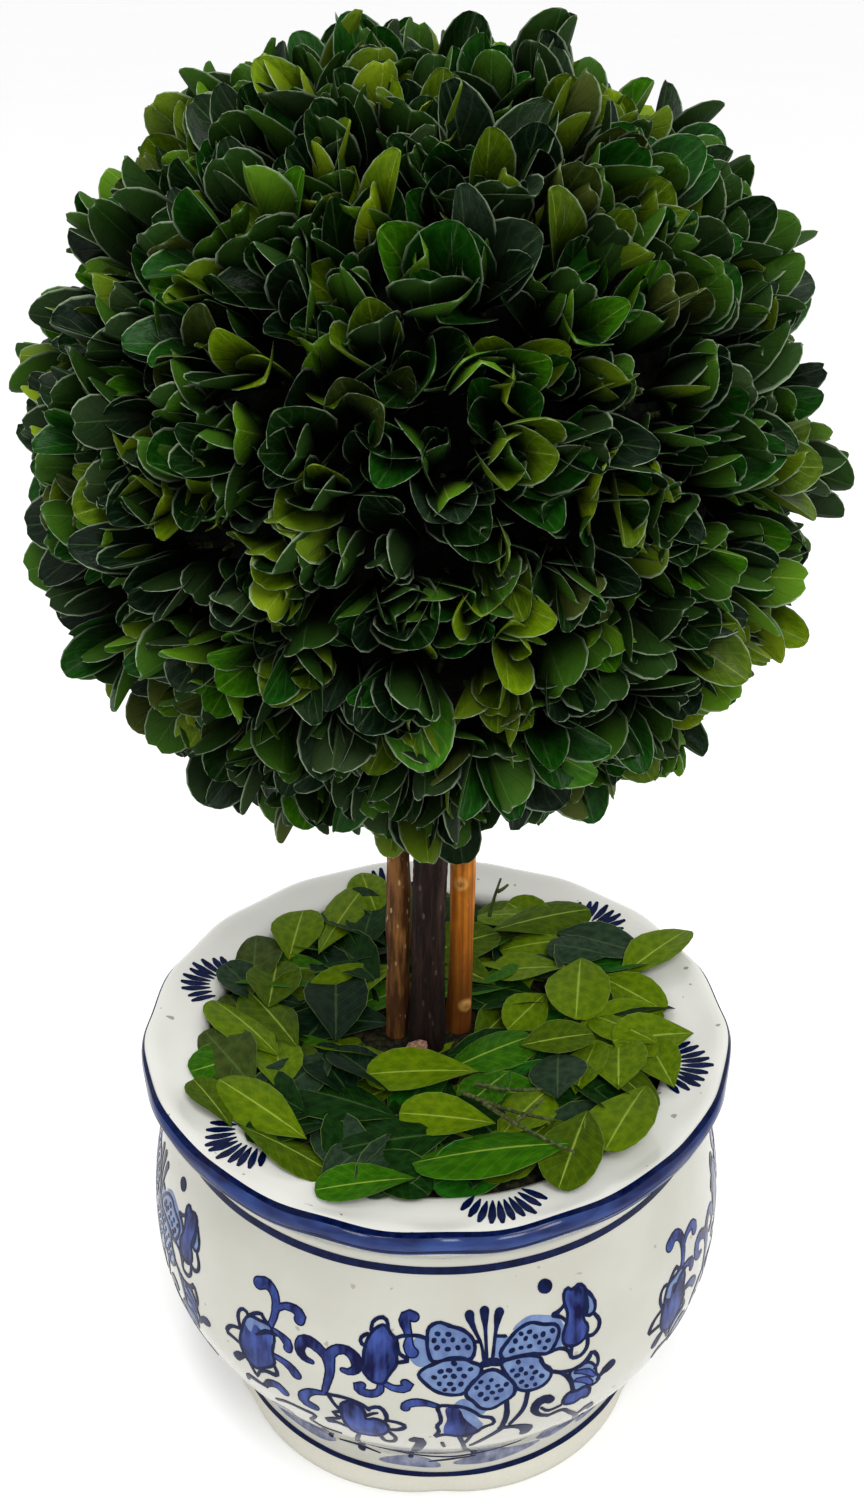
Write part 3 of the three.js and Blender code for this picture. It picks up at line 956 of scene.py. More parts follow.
# One panel of the wall, drawn as millimetres round the belly from its middle, and height
MOTIFS: tuple[Stroke | Shape, ...] = (
    # Light grounds beside the main flower's petals
    Shape(((-4.4, 66.2), (-2.4, 66.2), (-2.2, 63), (-1, 61.2), (-3.4, 59.4), (-5.4, 61.4)), Tone.WASH, 0),
    Shape((
        (15.4, 66.6), (18.6, 68.8), (22, 68.2), (25.4, 66.4), (26.6, 63), (26, 59.8), (23.4, 59.2), (24.6, 62.6),
        (24, 65), (19, 66.4),
    ), Tone.WASH, 0),
    Shape(((3.6, 49.4), (5.4, 50.8), (7.6, 48.6), (10, 46.6), (8, 45), (4.6, 47.6)), Tone.WASH, 0),
    Shape(((12, 65.8), (14.4, 65.3), (13.2, 61.8), (11.8, 60.4)), Tone.WASH, 0),
    # Main flower: five dotted petals, its knot and three stamens
    Shape((
        (-2, 66.2), (-1.6, 68.8), (0.4, 69.9), (2.5, 69.1), (5.4, 67.9), (7.3, 65.6), (7.5, 62.9), (6.7, 61.2),
        (4.6, 61.4), (2, 61.4), (-0.8, 60.9), (-1.8, 63.4),
    ), Tone.WASH, 0.8, True),
    Shape((
        (-3.7, 57.5), (-2.5, 59.2), (-0.8, 60.2), (2.5, 61.7), (5, 61.6), (6.8, 60.4), (8.7, 59.2), (8.6, 57),
        (7, 55.3), (6, 53.3), (5, 52.2), (1.7, 52.3), (-0.4, 53.3), (-2.1, 55),
    ), Tone.WASH, 0.8, True),
    Shape((
        (5.8, 53.3), (7.5, 55.4), (9.2, 57.5), (11.2, 57.9), (12.9, 56.7), (14.6, 54.6), (15.6, 52.5), (15.4, 50),
        (13.3, 48.3), (10.8, 46.9), (8.8, 47.5), (7.1, 50), (5.9, 51.3),
    ), Tone.WASH, 0.8, True),
    Shape((
        (12.9, 59.2), (15, 59.8), (18.8, 59.6), (21, 58.3), (21.7, 56.3), (23.3, 54.2), (23.1, 52.1), (21.3, 50.4),
        (18.3, 50.2), (16.3, 51.3), (15.4, 53.3), (14.2, 55.4),
    ), Tone.WASH, 0.8, True),
    Shape((
        (12.7, 61.7), (14.6, 64.6), (16.3, 66.3), (19.2, 67.3), (22, 66.1), (24.6, 65.2), (25.3, 63.6), (24.2, 60.5),
        (22.6, 58.9), (19.6, 59.8), (16, 60.1), (13.4, 60),
    ), Tone.WASH, 0.8, True),
    Stroke(((9.2, 59.5), (10.8, 59.9), (12.4, 59.4)), (1.8, 2.2, 1.8)),
    Stroke(((9.4, 60), (8.8, 64.6), (7.7, 67.5), (6.7, 70.4), (6.6, 71.2)), (0.8, 0.7, 0.7, 1, 2)),
    Stroke(((9.9, 60), (9.8, 66), (9.7, 70.8), (9.7, 71.7)), (0.8, 0.7, 0.8, 2)),
    Stroke(((11, 60), (11.7, 65.8), (12.5, 70.2), (12.8, 71)), (0.8, 0.7, 0.8, 2)),
    Stroke(((11.8, 65.9), (13.8, 65.5)), (0.7, 0.7)),
    Stroke(((7.4, 65.2), (8.6, 65)), (0.8, 0.7)),
    # Bud on the left of the flower, its light cap and petals, and the curls under it
    Shape((
        (-12.5, 67.5), (-10.6, 68.6), (-9.2, 66.7), (-8, 65.4), (-8.5, 63.3), (-8, 61.7), (-8.1, 59.6), (-9.6, 56.7),
        (-10.8, 54.2), (-12.9, 54.4), (-14.7, 56.7), (-14.8, 60), (-14.6, 62.5), (-14, 65),
    ), Tone.BODY, 0.7),
    Stroke(((-13.4, 67), (-13, 69), (-11.2, 70.2), (-10.2, 69.6), (-9.9, 68)), (0.8, 0.8, 0.9, 0.8)),
    Stroke(((-14.1, 66), (-15.3, 65), (-15.4, 63.6), (-14.4, 63)), (0.8, 0.9, 0.8)),
    Stroke(((-8.6, 65.8), (-6.8, 66.6), (-3.6, 66.8), (-2, 66.2)), (0.8, 0.8, 0.8)),
    Stroke(((-8, 64.8), (-7.5, 62.4), (-5.6, 61), (-7.6, 60.2)), (0.9, 0.8, 1, 0.9)),
    Stroke(((-4.7, 70.9), (-6, 71.2), (-6.6, 70), (-6, 67.9), (-5.6, 66.4)), (1.7, 1.9, 2, 1.2, 0.9), True),
    Stroke(((-5.6, 66), (-5.7, 64.2), (-5, 62.9)), (0.9, 1.8, 2.1), True),
    Stroke((
        (-11.2, 54), (-11.5, 52), (-13.2, 50.8), (-15.1, 51), (-15.9, 52.4), (-15.1, 52.8),
    ), (0.8, 1.2, 1.5, 1.8, 1.8, 1.2), True),
    Stroke(((-10.4, 54.4), (-8.8, 53.4), (-6.5, 53.5), (-5.6, 54.8), (-6.3, 55.1)), (0.8, 1.1, 1.5, 1.8, 1.4), True),
    # Forked scroll between the bud and the left flower
    Stroke((
        (-25.8, 55.3), (-27.4, 55.6), (-28.5, 57.2), (-27.9, 59.8), (-26.1, 60.3), (-24, 59.2), (-22.5, 58),
    ), (0.7, 1.4, 2, 2.4, 2.3, 2, 2), True),
    Stroke((
        (-22.4, 58), (-20.6, 60.4), (-18.4, 61), (-16.4, 59.4), (-16.2, 56.9), (-17.8, 55.6), (-19, 55.7),
    ), (2, 1.8, 1.8, 2, 2, 1.4, 0.8), True),
    Stroke(((-22.2, 58.2), (-21.8, 54.6), (-22.4, 51), (-23.1, 48)), (2.4, 1.6, 1.2, 0.8), True),
    Stroke(((-22.9, 47.5), (-26.1, 46.4), (-28, 44.1), (-27.8, 42), (-25.8, 41.4)), (0.6, 1.2, 1.9, 2.1, 1.9), True),
    # Hooks over the left flower
    Stroke((
        (-35.6, 60.2), (-34.9, 62.6), (-34.7, 66), (-35.6, 68.3), (-37.4, 69.3), (-39.5, 68.4),
    ), (1, 1.1, 1.5, 1.8, 2, 2.4), True),
    Stroke(((-34.3, 65), (-32.6, 66.3), (-30, 66.6), (-28.7, 65.6), (-28.9, 64.6)), (1, 1, 1.4, 1.9, 2), True),
    # Left flower: dark below, light above, with white petals, drops and leaves
    Shape((
        (-41.1, 59.4), (-38.4, 59.8), (-35.6, 59.8), (-34.6, 57.3), (-35, 53.2), (-34.6, 50), (-37, 47.3),
        (-40.2, 45.2), (-42.9, 47.3), (-43.8, 50.9), (-43.1, 54.5), (-42.3, 57.7),
    ), Tone.WASH, 0.7),
    Shape((
        (-42.6, 56.6), (-40.8, 55), (-39.6, 58), (-37.4, 57.2), (-35.6, 58.6), (-35.2, 53.2), (-34.9, 50), (-37, 47.6),
        (-40.2, 45.6), (-42.6, 47.6), (-43.4, 50.9),
    ), Tone.BODY, 0),
    Stroke(((-39.2, 55.6), (-36.4, 58), (-34.2, 58.4)), (0.5, 1.3, 0.9)),
    Stroke(((-41.4, 59.2), (-39.8, 60.8), (-38, 61.6), (-37.2, 60.6), (-36, 60)), (0.8, 0.9, 1, 0.8)),
    Stroke(((-43.5, 54.4), (-44.3, 57), (-43.8, 59.3), (-42.4, 60.1), (-41.4, 59.2)), (0.9, 0.9, 0.8, 0.9)),
    Stroke((
        (-43.8, 54.2), (-46.2, 53.1), (-47.6, 51.2), (-47.6, 50.2), (-46, 50.1), (-43.8, 49.8),
    ), (0.8, 0.8, 1.1, 1.2, 0.8, 0.8)),
    Stroke(((-42.6, 46.8), (-44.2, 45.8), (-45.2, 44.6)), (1, 2, 2.2)),
    Stroke((
        (-41.4, 45.4), (-40.4, 43.6), (-39.9, 42.4), (-38.6, 45), (-36.6, 46.3), (-34.4, 46.7), (-34, 47.4),
        (-34.8, 49.6),
    ), (0.7, 0.8, 0.9, 0.8, 0.8, 1.3, 1, 0.7)),
    Stroke(((-35, 59.2), (-32.8, 58.7), (-31.2, 57.4), (-31.3, 56.2)), (0.7, 1.2, 1.8, 1.5), True),
    Stroke(((-34.8, 52.4), (-32.4, 52.1), (-30.4, 51.1), (-29.4, 49.8)), (0.8, 1.2, 1.8, 2), True),
    Stroke(((-37.8, 40.8), (-36.2, 42.8), (-34.2, 43.3), (-32.8, 42.1)), (0.8, 1.4, 1.9, 1.9), True),
    Stroke(((-43.4, 38), (-42.6, 40.2), (-40, 40.2), (-37.6, 40.2)), (0.8, 1.6, 1.2, 0.8)),
    Stroke((
        (-36, 36.4), (-33, 38.1), (-29.4, 38.2), (-26.2, 37.6), (-27.2, 35.2), (-28, 33.6), (-25.6, 31.2), (-21.6, 31),
    ), (0.8, 0.9, 0.9, 1.1, 0.9, 1, 0.9, 0.8)),
    # Star flower low on the left
    Shape((
        (-19.6, 45.6), (-18, 47), (-15.6, 46.6), (-14.6, 44.6), (-14.4, 42.4), (-12.6, 43.2), (-10.6, 42.4), (-9.8, 40),
        (-10.6, 38), (-12.4, 35.8), (-15.4, 35), (-17.6, 35.2), (-18.6, 37), (-19.4, 39.6), (-19.7, 42.6),
    ), Tone.BODY, 0.7),
    Stroke(((-22.6, 47.5), (-19.4, 47.9), (-17, 47.7), (-14.8, 46.9), (-13.8, 45.8)), (0.9, 0.9, 0.8, 0.9)),
    Stroke(((-22.2, 47.2), (-21.2, 45.2), (-20.2, 43.8)), (0.9, 0.8, 0.8)),
    Stroke(((-19.8, 43), (-21.5, 41.8), (-20.2, 40.6)), (0.8, 0.9, 0.8)),
    Stroke(((-20.4, 40.2), (-22.6, 38.6), (-23.5, 37.4), (-21, 37.9), (-18.8, 37.1)), (0.8, 1, 1.5, 0.9, 0.8)),
    Stroke(((-13.8, 46.2), (-11.8, 47.2), (-10.8, 46.5), (-10.1, 43.8), (-10.6, 42.6)), (0.8, 1, 1, 0.8)),
    Stroke(((-14.2, 43.8), (-12.8, 44.9), (-12, 45.2)), (0.9, 0.8, 0.5)),
    Stroke(((-10, 43.2), (-7.6, 42.8), (-6.4, 41.8), (-7.8, 40.2), (-9.6, 39.8)), (0.8, 0.9, 1.2, 0.9)),
    Stroke(((-9.6, 38.4), (-8.6, 35.8), (-9.6, 33.3), (-11, 33.2), (-11.8, 35.8)), (0.8, 0.9, 1.1, 0.8)),
    Stroke(((-16.6, 34.8), (-17.6, 31), (-19, 24), (-20.4, 17), (-21.4, 12)), (1, 1.2, 1.4, 1.7, 2.2)),
    # Dark leaf under the main flower with its curled tip and stems
    Shape((
        (0.2, 48.8), (2.6, 48.9), (5.4, 48.2), (7.8, 46.2), (8.8, 44.9), (11, 43.9), (11.6, 41.9), (9.4, 40.8),
        (7.8, 38.8), (6, 37.6), (4.2, 38), (1.4, 38.9), (-0.4, 37.9), (0.4, 40.4), (0, 42.4), (0.8, 44), (0.6, 46.2),
    ), None, 0.85),
    Shape(((5, 47.8), (7.6, 45.6), (8.6, 43.4), (9.4, 41.8), (7.4, 40.4), (5.6, 44)), Tone.WASH, 0),
    Shape((
        (1.8, 48.2), (4.4, 47.8), (5.4, 45), (7.2, 42), (8.4, 40), (6.6, 38.2), (4.6, 38.4), (1.6, 39.4), (1.4, 42),
        (2, 44.4),
    ), Tone.BODY, 0),
    Stroke(((0.2, 48.8), (-2.2, 49.7), (-4.6, 49.7), (-6.2, 48.7), (-6.3, 47.9)), (0.7, 1.1, 1.6, 1.8, 1.4), True),
    Stroke(((4.6, 37.8), (5.5, 33.8), (6.4, 28), (8.4, 21), (10.4, 14.6)), (1, 1, 1.2, 1.5, 1.8)),
    Stroke(((7, 37.8), (6.1, 34)), (0.9, 0.7)),
    Stroke(((1.1, 34.4), (1.6, 31.8)), (0.8, 0.7)),
    Stroke((
        (-5, 35.6), (-3.9, 36.4), (-3.4, 34.4), (-4, 31), (-4.9, 27), (-6, 20), (-7.2, 12.8),
    ), (2, 2.4, 2.2, 1.4, 1, 1, 1.5)),
    Stroke(((14, 48.6), (14.1, 44), (13.3, 39.6)), (1, 1.3, 1.2)),
    Stroke(((18.4, 50), (17.6, 45), (15, 40.4)), (1, 1, 0.8)),
    Stroke(((13, 39.4), (15.6, 39), (17.8, 37.9), (19.2, 35.8), (19, 34)), (1.2, 1.1, 1.8, 3, 2.2)),
    Stroke(((13.2, 38.8), (10.2, 35.2), (7.4, 31.4)), (1.1, 1, 0.8)),
    # Serrated leaf at the upper right, its light lobes, and the dot beside it
    Shape((
        (26.9, 71.2), (27.8, 72.3), (29, 71.5), (30.3, 72.1), (31.7, 71.4), (32.2, 69.4), (31.4, 66), (31, 64),
        (31.9, 61.8), (31, 59.2), (28.6, 58.4), (26.4, 59.6), (26, 61.8), (27.1, 65), (27.4, 67), (26.9, 69),
    ), Tone.BODY, 0.7),
    Shape(((31.8, 70.6), (33, 69), (34, 66.4), (33.4, 64.4), (31.8, 64.4), (32.2, 67)), Tone.WASH, 0.8),
    Stroke(((33.4, 64.4), (34.7, 61.9), (34.3, 59.9), (32.6, 59), (31.4, 59.8)), (0.8, 1, 1, 0.9)),
    Stroke(((24.4, 67.5), (25.8, 68.1), (26.9, 69)), (1.3, 0.8, 0.8)),
    Stroke(((24.6, 67.3), (26.2, 66.2), (27, 65)), (1, 0.8, 0.7)),
    Stroke(((28, 58.6), (27.9, 55.5), (30, 55.1), (31.5, 56.6), (31.7, 59)), (0.8, 0.9, 1, 0.9)),
    Stroke(((22.4, 58.9), (25.2, 59.1), (27, 57.9), (27.8, 55.8)), (0.8, 0.9, 0.9)),
    Stroke(((22.8, 74.2), (23.2, 74)), (2.8, 2.8)),
    # Lower right flower: white leaf over light streaks over a dark foot, with its bulb, curl and stem
    Shape((
        (27.6, 51.6), (31.8, 52.2), (33.6, 50), (34, 47.6), (35, 45.4), (33.8, 44.4), (31.8, 45), (29, 45),
        (28.2, 48.4),
    ), Tone.WASH, 0.7),
    Stroke(((29, 50.9), (31.4, 49.8), (33.4, 47.4)), (0.5, 1.2, 0.6), True),
    Stroke(((29.2, 48.4), (31.2, 47.4), (32.8, 45.4)), (0.6, 1.3, 0.8), True),
    Shape((
        (26.4, 43.6), (27.6, 45.3), (29.6, 44.9), (31.4, 45.2), (32.8, 43.4), (32.3, 40.8), (31, 41.6), (29.4, 40.8),
        (26.8, 42),
    ), Tone.BODY, 0.8),
    Stroke((
        (21, 57.6), (22.4, 55), (24.2, 53.2), (28.6, 52), (31.6, 53), (32.8, 54.6), (34.1, 52.6), (34.2, 50.2),
        (33.5, 49.4),
    ), (0.8, 0.9, 0.9, 0.9, 0.9, 1.4, 1, 0.8, 0.8)),
    Stroke(((23.4, 53.8), (26, 52), (27.7, 49), (28.6, 45.4)), (0.8, 1, 1, 1)),
    Stroke(((34.4, 45.6), (36, 47), (37.4, 47.7), (37.7, 47.9)), (0.8, 1.2, 2.4, 2.4)),
    Stroke((
        (23.4, 45.2), (22.5, 46), (20.8, 45.6), (20.1, 43.4), (21.4, 41), (23.6, 39.5),
    ), (2, 2.7, 2.2, 1.4, 1, 0.9)),
    Stroke(((21.6, 43.4), (23.2, 41.6), (26, 41.9)), (0.7, 0.8, 0.7)),
    Stroke((
        (23.4, 39.5), (26.6, 39.8), (29, 36.8), (31.2, 33.4), (33, 29), (36, 23), (40, 17), (45, 11),
    ), (0.9, 1, 1.3, 1.5, 1.4, 1.4, 1.6, 1.4)),
    Stroke(((32.4, 33.6), (34.2, 35.4), (35, 33.6)), (1.2, 2.4, 1.8)),
    # Ground: a thin line, greyer washes, and little curls
    Stroke(((-60, 13), (-52, 17), (-46, 19), (-40, 16), (-33, 17.2)), (0.4, 0.6, 0.6, 0.4, 0.4)),
    Stroke((
        (-36, 15), (-26, 17.6), (-16, 16.4), (-6, 14.4), (4, 13.2), (12, 14), (24, 15.6), (33, 20),
    ), (0.4, 0.5, 0.5, 0.5, 0.4, 0.3)),
    Stroke(((-26, 30), (-28, 20), (-31, 12.4)), (0.8, 1.2, 1.5)),
    Stroke(((35.4, 28), (39, 22), (43.6, 19.4)), (0.8, 1.6, 1.2)),
    Shape(((-53, 9.4), (-49, 12.4), (-41, 13.4), (-33, 13.2), (-29.4, 11.2), (-32, 9.4), (-42, 8.8)), Tone.SHADE, 0),
    Shape(((-44.4, 19.6), (-42, 25), (-39, 31.6), (-34, 32.4), (-33.2, 27), (-35.6, 20.6), (-40, 18)), Tone.SHADE, 0),
    Shape(((-18, 16.2), (-15, 20.4), (-8, 21.8), (0, 21), (6, 19.6), (7.6, 16.6), (-4, 15.4)), Tone.SHADE, 0),
    Shape(((-16.6, 9.2), (-12, 11.8), (-7, 13.6), (-1.6, 11.8), (1.4, 9.2), (-8, 8.7)), Tone.SHADE, 0),
    Shape(((4.6, 10), (9.4, 12.8), (11, 16.6), (15, 16), (20, 13), (31, 10.4), (20, 8.9), (11, 8.9)), Tone.SHADE, 0),
    Shape(((24.8, 28.6), (26.8, 30.4), (29.8, 26), (31, 21), (28.4, 19.6), (26, 24)), Tone.SHADE, 0),
    Shape(((29, 12.2), (31, 14.2), (37, 13.8), (44, 12.6), (51, 10.6), (40, 10.2), (33, 10.2)), Tone.SHADE, 0),
    Stroke(((-28, 12.6), (-22, 13.6), (-16, 12)), (0.4, 1, 0.4)),
    Stroke(((-2, 11), (5, 12), (11, 12.6)), (0.4, 0.7, 0.4)),
)


@dataclass
class WallPainting:
    """The flower scroll round the wall: the same panel painted four times by hand.

    Each panel has the azimuth of its middle in degrees and a shift upwards in millimetres.
    """

    paint: Paint
    panels: tuple[Point, ...] = ((270, 0), (355, -1.6), (91, -0.6), (188.5, -0.8))
    level: Point = (14, 30)
    belly: float = 65.0
    edge: float = 0.36
    step: float = 0.9
    dot_spacing: float = 2.0
    seed: int = 31

    def __post_init__(self) -> None:
        """Starts the seeded numbers for the hand's small differences."""
        self.random = np.random.default_rng(self.seed)

    def to_place(self, middle: float, rise: float) -> Placing:
        """Gives the function that puts a panel's drawing points on the wall.

        Args:
            middle: Azimuth of the panel's middle in degrees.
            rise: Its shift upwards.

        Returns:
            The function.
        """

        def place(points: np.ndarray) -> np.ndarray:
            """Turns points across and up into azimuths and distances; the ground line stays level."""
            azimuth = math.radians(middle) + points[:, 0] / self.belly
            heights = points[:, 1] + rise * smoothstep(points[:, 1], *self.level)
            return np.column_stack([azimuth, self.paint.shape.wall_place(heights)])

        return place

    def draw_stroke(self, stroke: Stroke, place: Placing) -> None:
        """Paints one open line, with a dark edge round it where it has a body.

        Args:
            stroke: The line.
            place: Puts drawing points on the wall.
        """
        line = smooth_line(stroke.points, self.step)
        share = np.linspace(0, 1, len(line))
        halves = np.interp(share, np.linspace(0, 1, len(stroke.widths)), stroke.widths) / 2
        halves = halves * self.random.uniform(0.93, 1.07, len(line))
        if not stroke.body:
            self.paint.ribbon(Tone.LINE, line, halves, False, place)
            return
        self.paint.ribbon(Tone.LINE, line, halves + self.edge, False, place, lift=-0.06)
        self.paint.ribbon(Tone.BODY, line, halves, False, place)

    def draw_dots(self, outline: np.ndarray, place: Placing) -> None:
        """Paints staggered dots inside a petal, clear of its edge.

        Args:
            outline: Points of a closed edge.
            place: Puts drawing points on the wall.
        """
        low, high = outline.min(axis=0), outline.max(axis=0)
        for row, y in enumerate(np.arange(low[1] + 1.4, high[1] - 0.6, self.dot_spacing * 0.87)):
            for x in np.arange(low[0] + 1.2 + (row % 2) * self.dot_spacing / 2, high[0], self.dot_spacing):
                spot = np.array([x, y]) + self.random.uniform(-0.25, 0.25, 2)
                if inset(outline, tuple(spot)) < 1.15:
                    continue
                size = self.random.uniform(0.42, 0.58)
                turn = self.random.uniform(0, math.pi)
                reach = np.array([math.cos(turn), math.sin(turn)]) * size * 0.25
                line = np.array([spot - reach, spot, spot + reach])
                self.paint.ribbon(Tone.LINE, line, np.full(3, size), False, place)

    def draw_shape(self, shape: Shape, place: Placing) -> None:
        """Paints one closed shape: its fill, then its edge, then its dots.

        Args:
            shape: The shape.
            place: Puts drawing points on the wall.
        """
        outline = smooth_line(shape.points, self.step, closed=True)
        if shape.tone is not None:
            self.paint.fill(shape.tone, outline, place)
        if shape.outline:
            halves = np.full(len(outline), shape.outline / 2) * self.random.uniform(0.85, 1.15, len(outline))
            self.paint.ribbon(Tone.LINE, outline, halves, True, place)
        if shape.dots:
            self.draw_dots(outline, place)

    def draw(self) -> None:
        """Paints every panel."""
        for middle, rise in self.panels:
            place = self.to_place(middle, rise)
            for motif in MOTIFS:
                if isinstance(motif, Stroke):
                    self.draw_stroke(motif, place)
                else:
                    self.draw_shape(motif, place)


@dataclass
class RimPainting:
    """The rim's blue stripe, the rings at neck and foot, and the fans of short strokes on its top."""

    paint: Paint
    rings: tuple[Point, ...] = ((80.7, 1.9), (7.0, 1.3))
    stripe_heights: Point = (90.6, 92.6)
    stripe_radius: float = 62.7
    edge_lift: float = -0.02
    columns: int = 360
    fan_azimuths: tuple[float, ...] = (44.6, 104.4, 163.5, 223, 283.2, 344.5)
    fan_strokes: int = 10
    fan_radius: float = 58.0
    fan_root: float = 54.7
    fan_half: float = 5.4
    fan_length: float = 6.2
    fan_lean: float = 0.72
    seed: int = 47

    def __post_init__(self) -> None:
        """Starts the seeded numbers for the hand's small differences."""
        self.random = np.random.default_rng(self.seed)
        self.azimuth = np.linspace(0, 2 * math.pi, self.columns, endpoint=False)

    def wobble(self, size: float) -> np.ndarray:
        """Gives a smooth unevenness round the pot.

        Args:
            size: About how far it strays.

        Returns:
            The unevenness at each azimuth.
        """
        total = np.zeros_like(self.azimuth)
        for count in (3, 7, 13, 29):
            total += np.cos(count * self.azimuth + self.random.uniform(0, 2 * math.pi)) / count ** 0.4
        return total * size / 2

    def band(self, tone: Tone, low: np.ndarray, high: np.ndarray, rows: int, lift: float = 0.0) -> None:
        """Paints a band all round between two distances along the outline.

        Args:
            tone: The brush tone.
            low: The lower edge at each azimuth.
            high: The upper edge.
            rows: Rows of points between them.
            lift: Height over the tone's own height.
        """
        shares = np.linspace(0, 1, rows)[:, None]
        along = low * (1 - shares) + high * shares
        places = np.stack([np.broadcast_to(self.azimuth, along.shape), along], axis=-1).reshape(-1, 2)
        self.paint.lay(tone, places, grid_faces(rows, self.columns), lift)

    def draw(self) -> None:
        """Paints the rings, the stripe and the fans."""
        shape = self.paint.shape
        for height, width in self.rings:
            middle = shape.wall_place(np.full(self.columns, height)) + self.wobble(0.12)
            half = width / 2 + self.wobble(0.1)
            self.band(Tone.LINE, middle - half, middle + half, 2)
        front = (1 - np.sin(self.azimuth)) / 2
        low, crest = (float(shape.wall_place(np.array(height))) for height in self.stripe_heights)
        top = float(shape.top_place(np.array(self.stripe_radius)))
        high = np.interp(smoothstep(front, 0.3, 0.95), (0, 1), (crest, top))
        self.band(Tone.WASH, low - 0.2 + self.wobble(0.2), np.full(self.columns, low + 1), 2)
        self.band(Tone.STRIPE, low + 0.1 + self.wobble(0.2), high + self.wobble(0.2), 9)
        self.band(Tone.LINE, low + 0.3 + self.wobble(0.2), low + 1.2 + self.wobble(0.5), 2, self.edge_lift)
        inner = high - 0.3 - 0.9 * front + self.wobble(0.4)
        self.band(Tone.LINE, inner, high + 0.05 + self.wobble(0.1), 3, self.edge_lift)
        for middle in self.fan_azimuths:
            self.draw_fan(math.radians(middle))

    def draw_fan(self, middle: float) -> None:
        """Paints one fan of strokes that spread outwards from an arc, each thin inside and round outside.

        Args:
            middle: Azimuth of the fan's middle.
        """
        shape = self.paint.shape

        def place(points: np.ndarray) -> np.ndarray:
            """Turns points across the fan and along the pot's outline into azimuths and distances."""
            return np.column_stack([middle + points[:, 0] / self.fan_radius, points[:, 1]])

        for share in np.linspace(-1, 1, self.fan_strokes):
            root = self.fan_root - 2.4 * share * share + self.random.uniform(-0.3, 0.3)
            start = np.array([share * self.fan_half, root])
            lean = share * self.fan_lean + self.random.uniform(-0.06, 0.06)
            length = self.fan_length - 1.3 * share * share + self.random.uniform(-0.5, 0.5)
            end = start + length * np.array([math.sin(lean), math.cos(lean)])
            line = smooth_line((start, (start + end) / 2, end), 0.7)
            line[:, 1] = shape.top_place(line[:, 1])
            halves = np.interp(np.linspace(0, 1, len(line)), (0, 0.3, 0.7, 1), (0.2, 0.66, 0.84, 0.42))
            self.paint.ribbon(Tone.LINE, line, halves, False, place)


@dataclass
class Filling:
    """The dry foam block in the pot and the dark packed litter over it, under the loose leaves."""

    shape: PotShape
    top: float = 86.5
    floor: float = 7.3
    floor_radius: float = 41.5
    inset: float = 0.45
    lumps: float = 0.9
    columns: int = 72
    litter: tuple[Point, ...] = ((50.2, 86.9), (50.4, 88.6), (47, 90.4), (36, 91.6), (20, 92), (6, 92.2))

    def build(self, foam: CrumbFinish, litter: CrumbFinish) -> None:
        """Makes the foam block and the litter.

        Args:
            foam: The foam's finish.
            litter: The litter's finish.
        """
        inner = [(r - self.inset, z) for r, z in self.shape.inside if z < self.top]
        wide = np.interp(self.top, *zip(*sorted((z, r) for r, z in self.shape.inside)))
        floor = [(0, self.floor), (self.floor_radius, self.floor)]
        outline = [*floor, *inner[-2::-1], (wide - self.inset, self.top), (0, self.top)]
        block = turned_piece("filling_foam", self.rings(np.array(outline, float), 0.0), foam.material())
        settle(block, "filling", "pot_filling")
        profile = np.vstack([[[0, 86.9]], smooth_line(self.litter, 1.5), [[0, 92.3]]])
        bed = turned_piece("mulch_litter", self.rings(profile, self.lumps), litter.material())
        settle(bed, "mulch_leaves")

    def rings(self, profile: np.ndarray, lumps: float) -> np.ndarray:
        """Turns a profile of radius and height into rings of points, with lumps of so many millimetres.

        Args:
            profile: Radii and heights.
            lumps: Height of the lumps.

        Returns:
            The rings.
        """
        angle = np.linspace(0, 2 * math.pi, self.columns, endpoint=False)
        rings = np.stack([
            profile[:, :1] * np.cos(angle), profile[:, :1] * np.sin(angle),
            np.broadcast_to(profile[:, 1:], (len(profile), self.columns)),
        ], axis=-1)
        if lumps:
            for ring in rings:
                for point in ring:
                    point[2] += lumps * noise.noise(Vector(point * 0.22)) * min(1.0, max(0.0, point[2] - 87) / 3)
        return rings


